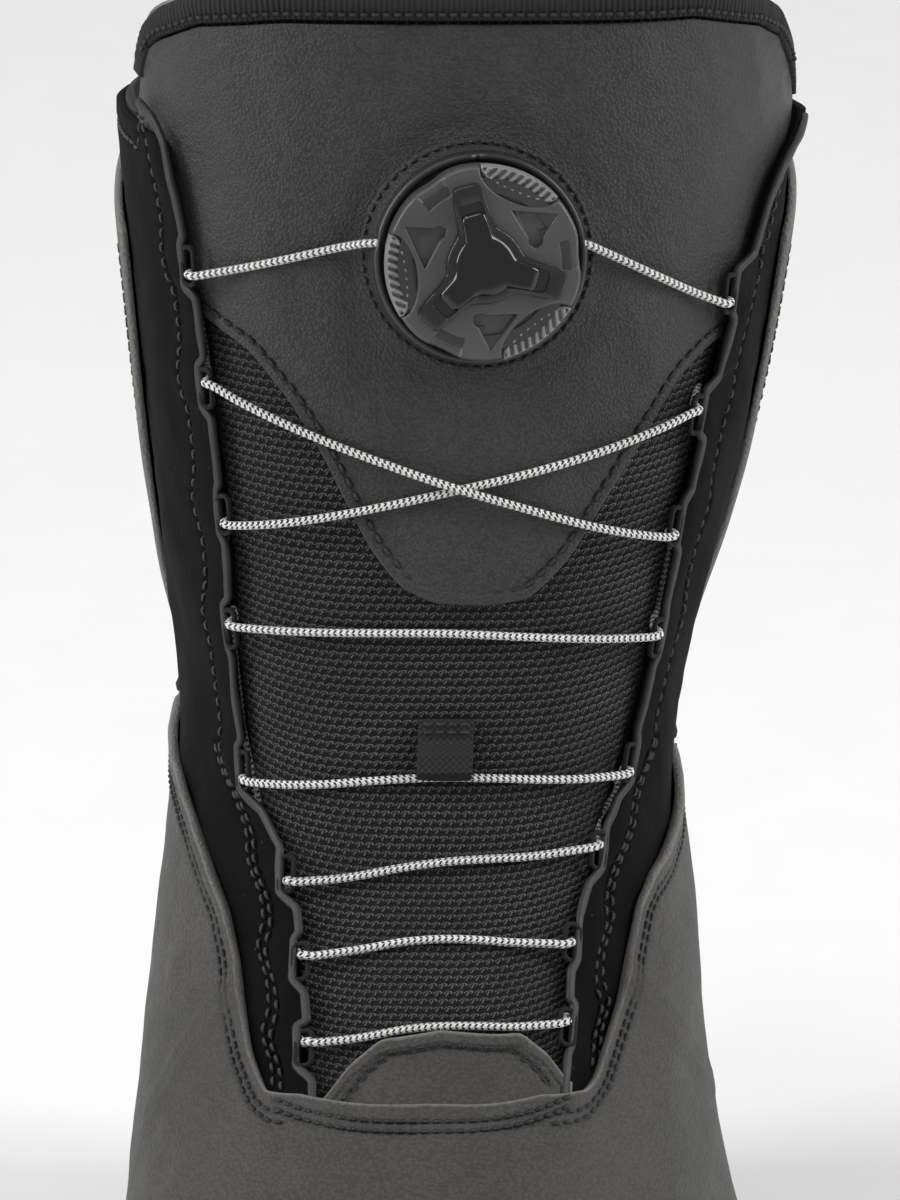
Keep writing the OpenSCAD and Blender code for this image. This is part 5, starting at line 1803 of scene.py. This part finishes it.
def make_liner():
    rows = np.linspace(0, 1, 120)
    cup = ring_sheet(0.12, 6.89, 200, rows, LINER, 2.6, both=True,
                     relief=lambda t, l, p, e: -0.9 * bell(e - 9, 0.9) + 0.3 * ripple(p, 24, 82))
    outline, _ = outline_at(0.35)
    floor = [(None, 23.2), (-20, 23.2), (-10, 23.2), (-8.5, 24.2), (-8.3, 27), (-9.5, 30.2),
             (-12, 31.5), (-20, 31.6), (None, 31.6)]
    points, faces = plate(outline, floor)
    base = stacked(points, faces, points[..., :2])
    foot = build("liner_foot_part", [cup, base], PAINT["liner_fabric"], "boot", "liner_foot")

    def cuff_place(u, q):
        level = mix(6.96, 10.75, q)
        return mix(throat(level, 1) - 17, throat(level, -1) + 377, u), level

    def tongue_part(u, q):
        level = mix(7.04, 10.9, q)
        return mix(throat(level, -1) + 18.8, throat(level, 1) - 18.8, u), level

    for node, body, place, us in (("liner_cuff", "boot", cuff_place, edged(230, 0.008)),
                                  ("liner_tongue", "inner_tongue", tongue_part, edged(90, 0.02))):
        pad = sheet(place, us, edged(150, 0.02), LINER, 3.6, "lrbt", both=True, relief=liner_relief)
        piece = build(node + "_part", pad, PAINT["liner_fabric"], body, node)
    top = float(surface(180, 10.75)[2])
    r = 10.6
    arch = [(r * math.cos(a), 0, top + 0.3 + r + r * math.sin(a)) for a in np.linspace(math.pi, 0, 40)]
    legs = [(-r, 0, top - 9 + k) for k in np.arange(0, 19, 1.5)]
    path = np.array(legs + arch + [(r, 0, z) for _, _, z in legs[::-1]]) + [0, 117.6, 0]
    strap = ribbon(smooth_path(path[::2], 1.0), (0, 1, 0), 7.2, 1.5, 0.5)
    build("liner_loop", strap, PAINT["webbing"], "boot", "liner_pull_loop")


def make_insole():
    outline, _ = outline_at(0.5)
    rows = [(None, 31.9), (-40, 31.9), (-20, 31.9), (-17.3, 32.1), (-17.0, 33.2), (-17.3, 34.8), (-18, 35.2),
            (-20, 35.25), (-24, 34.9), (-28, 34.6), (-34, 34.4), (None, 34.4)]
    points, faces = plate(outline, rows)
    pad = stacked(points, faces, points[..., :2])
    piece = build("insole_pad", pad, PAINT["insole_foam"], "boot", "insole")


# ---- sole ----
GROOVES = [-126, -108, -90, -72, -54, -36, 44, 60, 76, 92, 108, 124]


def lug_height(x, y):
    """Height of the outsole's underside: grooves across and along the middle, fine sipes and the arch."""
    z = 0 * x
    for g in GROOVES:
        from_groove = np.abs(y - g - 0.1 * np.abs(x + 4) * np.sign(g))
        z = np.maximum(z, 3.4 * soft_step((2.6 - from_groove) / 0.7 + 0.2))
    lengthwise = ((y > -117) & (y < -30)) | ((y > 48) & (y < 116))
    z = np.maximum(z, 3.2 * soft_step((2.6 - np.abs(x + 4)) / 0.7 + 0.2) * lengthwise)
    arch = soft_step((24 - np.abs(y - 5)) / 3)
    z = np.maximum(z, 3.2 * arch)
    wave = (y + 1.2 * np.sin(x * 0.9)) % 6 - 3
    sipe = 0.8 * bell(wave, 0.45) * (z < 0.2) * (np.abs(x + 4) > 9)
    ridges = 0.5 * soft_step(np.sin(y * 1.3)) * arch * (np.abs(x) < 22)
    return z + sipe - ridges * 0.6


def make_outsole():
    outline, turns = outline_at(0.9)
    ring = outline(6.3)
    medial, lateral = ring[turns <= 0], ring[(turns >= 0) | (turns == -180)]
    lateral = lateral[np.argsort(lateral[:, 1])]
    medial = medial[np.argsort(medial[:, 1])]
    low, high = ring[:, 1].min() + 0.15, ring[:, 1].max() - 0.15
    spread = np.linspace(-1, 1, 420)
    y = mix(low, high, 0.5 + 0.5 * np.sin(spread * math.pi / 2) * 0.12 + 0.44 * spread)
    near_ends = 6 * np.linspace(0, 1, 16) ** 2
    y = np.unique(np.concatenate([y, low + near_ends, high - near_ends]))
    left, right = np.interp(y, medial[:, 1], medial[:, 0]), np.interp(y, lateral[:, 1], lateral[:, 0])
    u = edged(150, 0.008)
    x = mix(left[:, None], right[:, None], u[None])
    yy = np.broadcast_to(y[:, None], x.shape)
    side = np.minimum(np.minimum(x - left[:, None], right[:, None] - x), np.minimum(yy - low, high - yy))
    z = lug_height(x, yy) + 0.8 - np.sqrt(np.maximum(0, 0.64 - (0.8 - np.clip(side, 0, 0.8)) ** 2))
    bottom = np.stack([x, yy, z], -1).reshape(-1, 3)
    top = np.stack([x, yy, np.full(x.shape, 6.5)], -1).reshape(-1, 3)
    m, n = x.shape
    sole = block(bottom, top, bottom[:, :2], n, m)
    build("outsole_tread", sole, PAINT["outsole_rubber"], "boot", "outsole", sharp=60)


def make_midsole():
    outline, turns = outline_at(0.9)
    slots = soft_step(np.sin(np.radians(turns * 9)) * 2 + 0.4)
    rows = [(None, 6.6), (-30, 6.6), (0.0, 6.6)]
    for z in np.linspace(6.6, 20.6, 40):
        curve = 5.7 - 0.9 * ((z - 13.6) / 7) ** 4 - 0.9 * bell(z - 17.2, 0.7)
        curve = curve - 0.8 * slots * soft_step((3.2 - np.abs(z - 11.6)) / 1.0)
        rows.append((curve, z))
    rows += [(3.0, 20.55), (-6, 20.5), (-30, 20.5), (None, 20.5)]
    points, faces = plate(outline, rows)
    uv = np.stack([np.broadcast_to(turns * 1.5, points.shape[:2]), points[..., 2]], -1)
    foam = stacked(points, faces, uv)
    build("midsole_block", foam, PAINT["midsole_foam"], "boot", "midsole")


# ---- everything ----
def paint_cad_nodes():
    """The hidden hard parts keep their CAD shape."""
    names = {"shank": "shank_steel", "dial_screw": "shank_steel", "heel_cushion": "heel_cushion_foam",
             "lasting_board": "lasting_board_fibre", "dial_pawl_ring": "dial_inner",
             "dial_spool": "dial_inner", "spool_lace": "spool_lace"}
    for node, paint in names.items():
        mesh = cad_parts[node].data
        mesh.materials.clear()
        mesh.materials.append(PAINT[paint])


def make_all():
    make_outsole()
    make_midsole()
    make_vamp()
    make_quarters()
    make_piping()
    make_guards()
    for side, word in ((-1, "medial"), (1, "lateral")):
        make_front_panel(side, "front_panel_" + word)
        make_edge_tape(side, "throat_edge_" + word)
        make_guides(side, "lace_guides_" + word)
        make_cuff(side, "cuff_" + word)
    make_backstay()
    make_heel_loop()
    make_collar()
    make_linings()
    make_tongue()
    make_tongue_leather()
    make_tongue_binding()
    make_tongue_tab()
    make_gussets()
    make_keeper()
    make_patch()
    make_dial_base()
    make_knob()
    make_grips()
    make_cover()
    make_laces()
    make_liner()
    make_insole()
    paint_cad_nodes()


# ---- stage ----
def make_floor():
    """A wide pale floor that rises softly behind."""
    xs = np.linspace(-3, 3, 24)
    bend = np.linspace(0.1, math.pi / 2, 14)
    ys = np.concatenate([np.linspace(-3, 1.2, 14), 1.2 + 1.2 * np.sin(bend), [2.4, 2.4]])
    zs = np.concatenate([np.zeros(14), 1.2 - 1.2 * np.cos(bend), [2.2, 4.0]])
    x, k = np.meshgrid(xs, np.arange(len(ys)))
    points = np.stack([x, ys[k], zs[k]], -1).reshape(-1, 3)
    mesh = bpy.data.meshes.new("floor")
    mesh.from_pydata(points.tolist(), [], grid_quads(len(xs), len(ys)).tolist())
    mesh.polygons.foreach_set("use_smooth", [True] * len(mesh.polygons))
    floor = bpy.data.objects.new("floor", mesh)
    bpy.context.scene.collection.objects.link(floor)
    p = Paint("floor_paper", True)
    fleck = p.noise(30, 3, 0.5)
    base = p.mixed(fleck, (0.86, 0.86, 0.86), (0.9, 0.9, 0.9))
    floor.data.materials.append(p.finish(base, 0.85, p.bump(p.noise(2.0, 2), 0.05, 0.2)))


def make_lamp(name, at, aim, size, power):
    lamp = bpy.data.lights.new(name, "AREA")
    lamp.shape = "RECTANGLE"
    lamp.size, lamp.size_y = size
    lamp.energy = power
    thing = bpy.data.objects.new(name, lamp)
    thing.location = at
    thing.rotation_euler = (Vector(aim) - Vector(at)).to_track_quat("-Z", "Y").to_euler()
    bpy.context.scene.collection.objects.link(thing)


def make_lights():
    world = bpy.data.worlds.new("studio")
    bpy.context.scene.world = world
    world.use_nodes = True
    nodes, links = world.node_tree.nodes, world.node_tree.links
    back = nodes["Background"]
    back.inputs["Color"].default_value = (1, 1, 1, 1)
    back.inputs["Strength"].default_value = 0.45
    seen = nodes.new("ShaderNodeBackground")
    seen.inputs["Color"].default_value = (1, 1, 1, 1)
    seen.inputs["Strength"].default_value = 0.93
    path = nodes.new("ShaderNodeLightPath")
    either = nodes.new("ShaderNodeMixShader")
    links.new(path.outputs["Is Camera Ray"], either.inputs[0])
    links.new(back.outputs[0], either.inputs[1])
    links.new(seen.outputs[0], either.inputs[2])
    links.new(either.outputs[0], nodes["World Output"].inputs["Surface"])
    make_lamp("key", (-0.5, -0.6, 2.0), (0, 0, 0.2), (0.7, 0.5), 5)
    make_lamp("left", (-1.3, -0.25, 0.9), (0, 0, 0.22), (0.5, 1.2), 14)
    make_lamp("right", (1.35, -0.2, 0.95), (0, 0, 0.22), (0.5, 1.2), 14)
    make_lamp("behind", (0, 0.9, 2.4), (0, 2.4, 1.0), (2.4, 1.0), 12)


def make_camera():
    camera = bpy.data.cameras.new("camera")
    camera.lens = 173.85
    thing = bpy.data.objects.new("camera", camera)
    thing.location = (0, -1.0499, 0.5896)
    thing.rotation_euler = (math.radians(90 - 20.44), 0, 0)
    bpy.context.scene.collection.objects.link(thing)
    bpy.context.scene.camera = thing


bpy.context.scene.view_settings.view_transform = "Standard"
make_all()
make_floor()
make_lights()
make_camera()


def plain(bounds):
    return [[float(v) for v in corner] for corner in bounds]
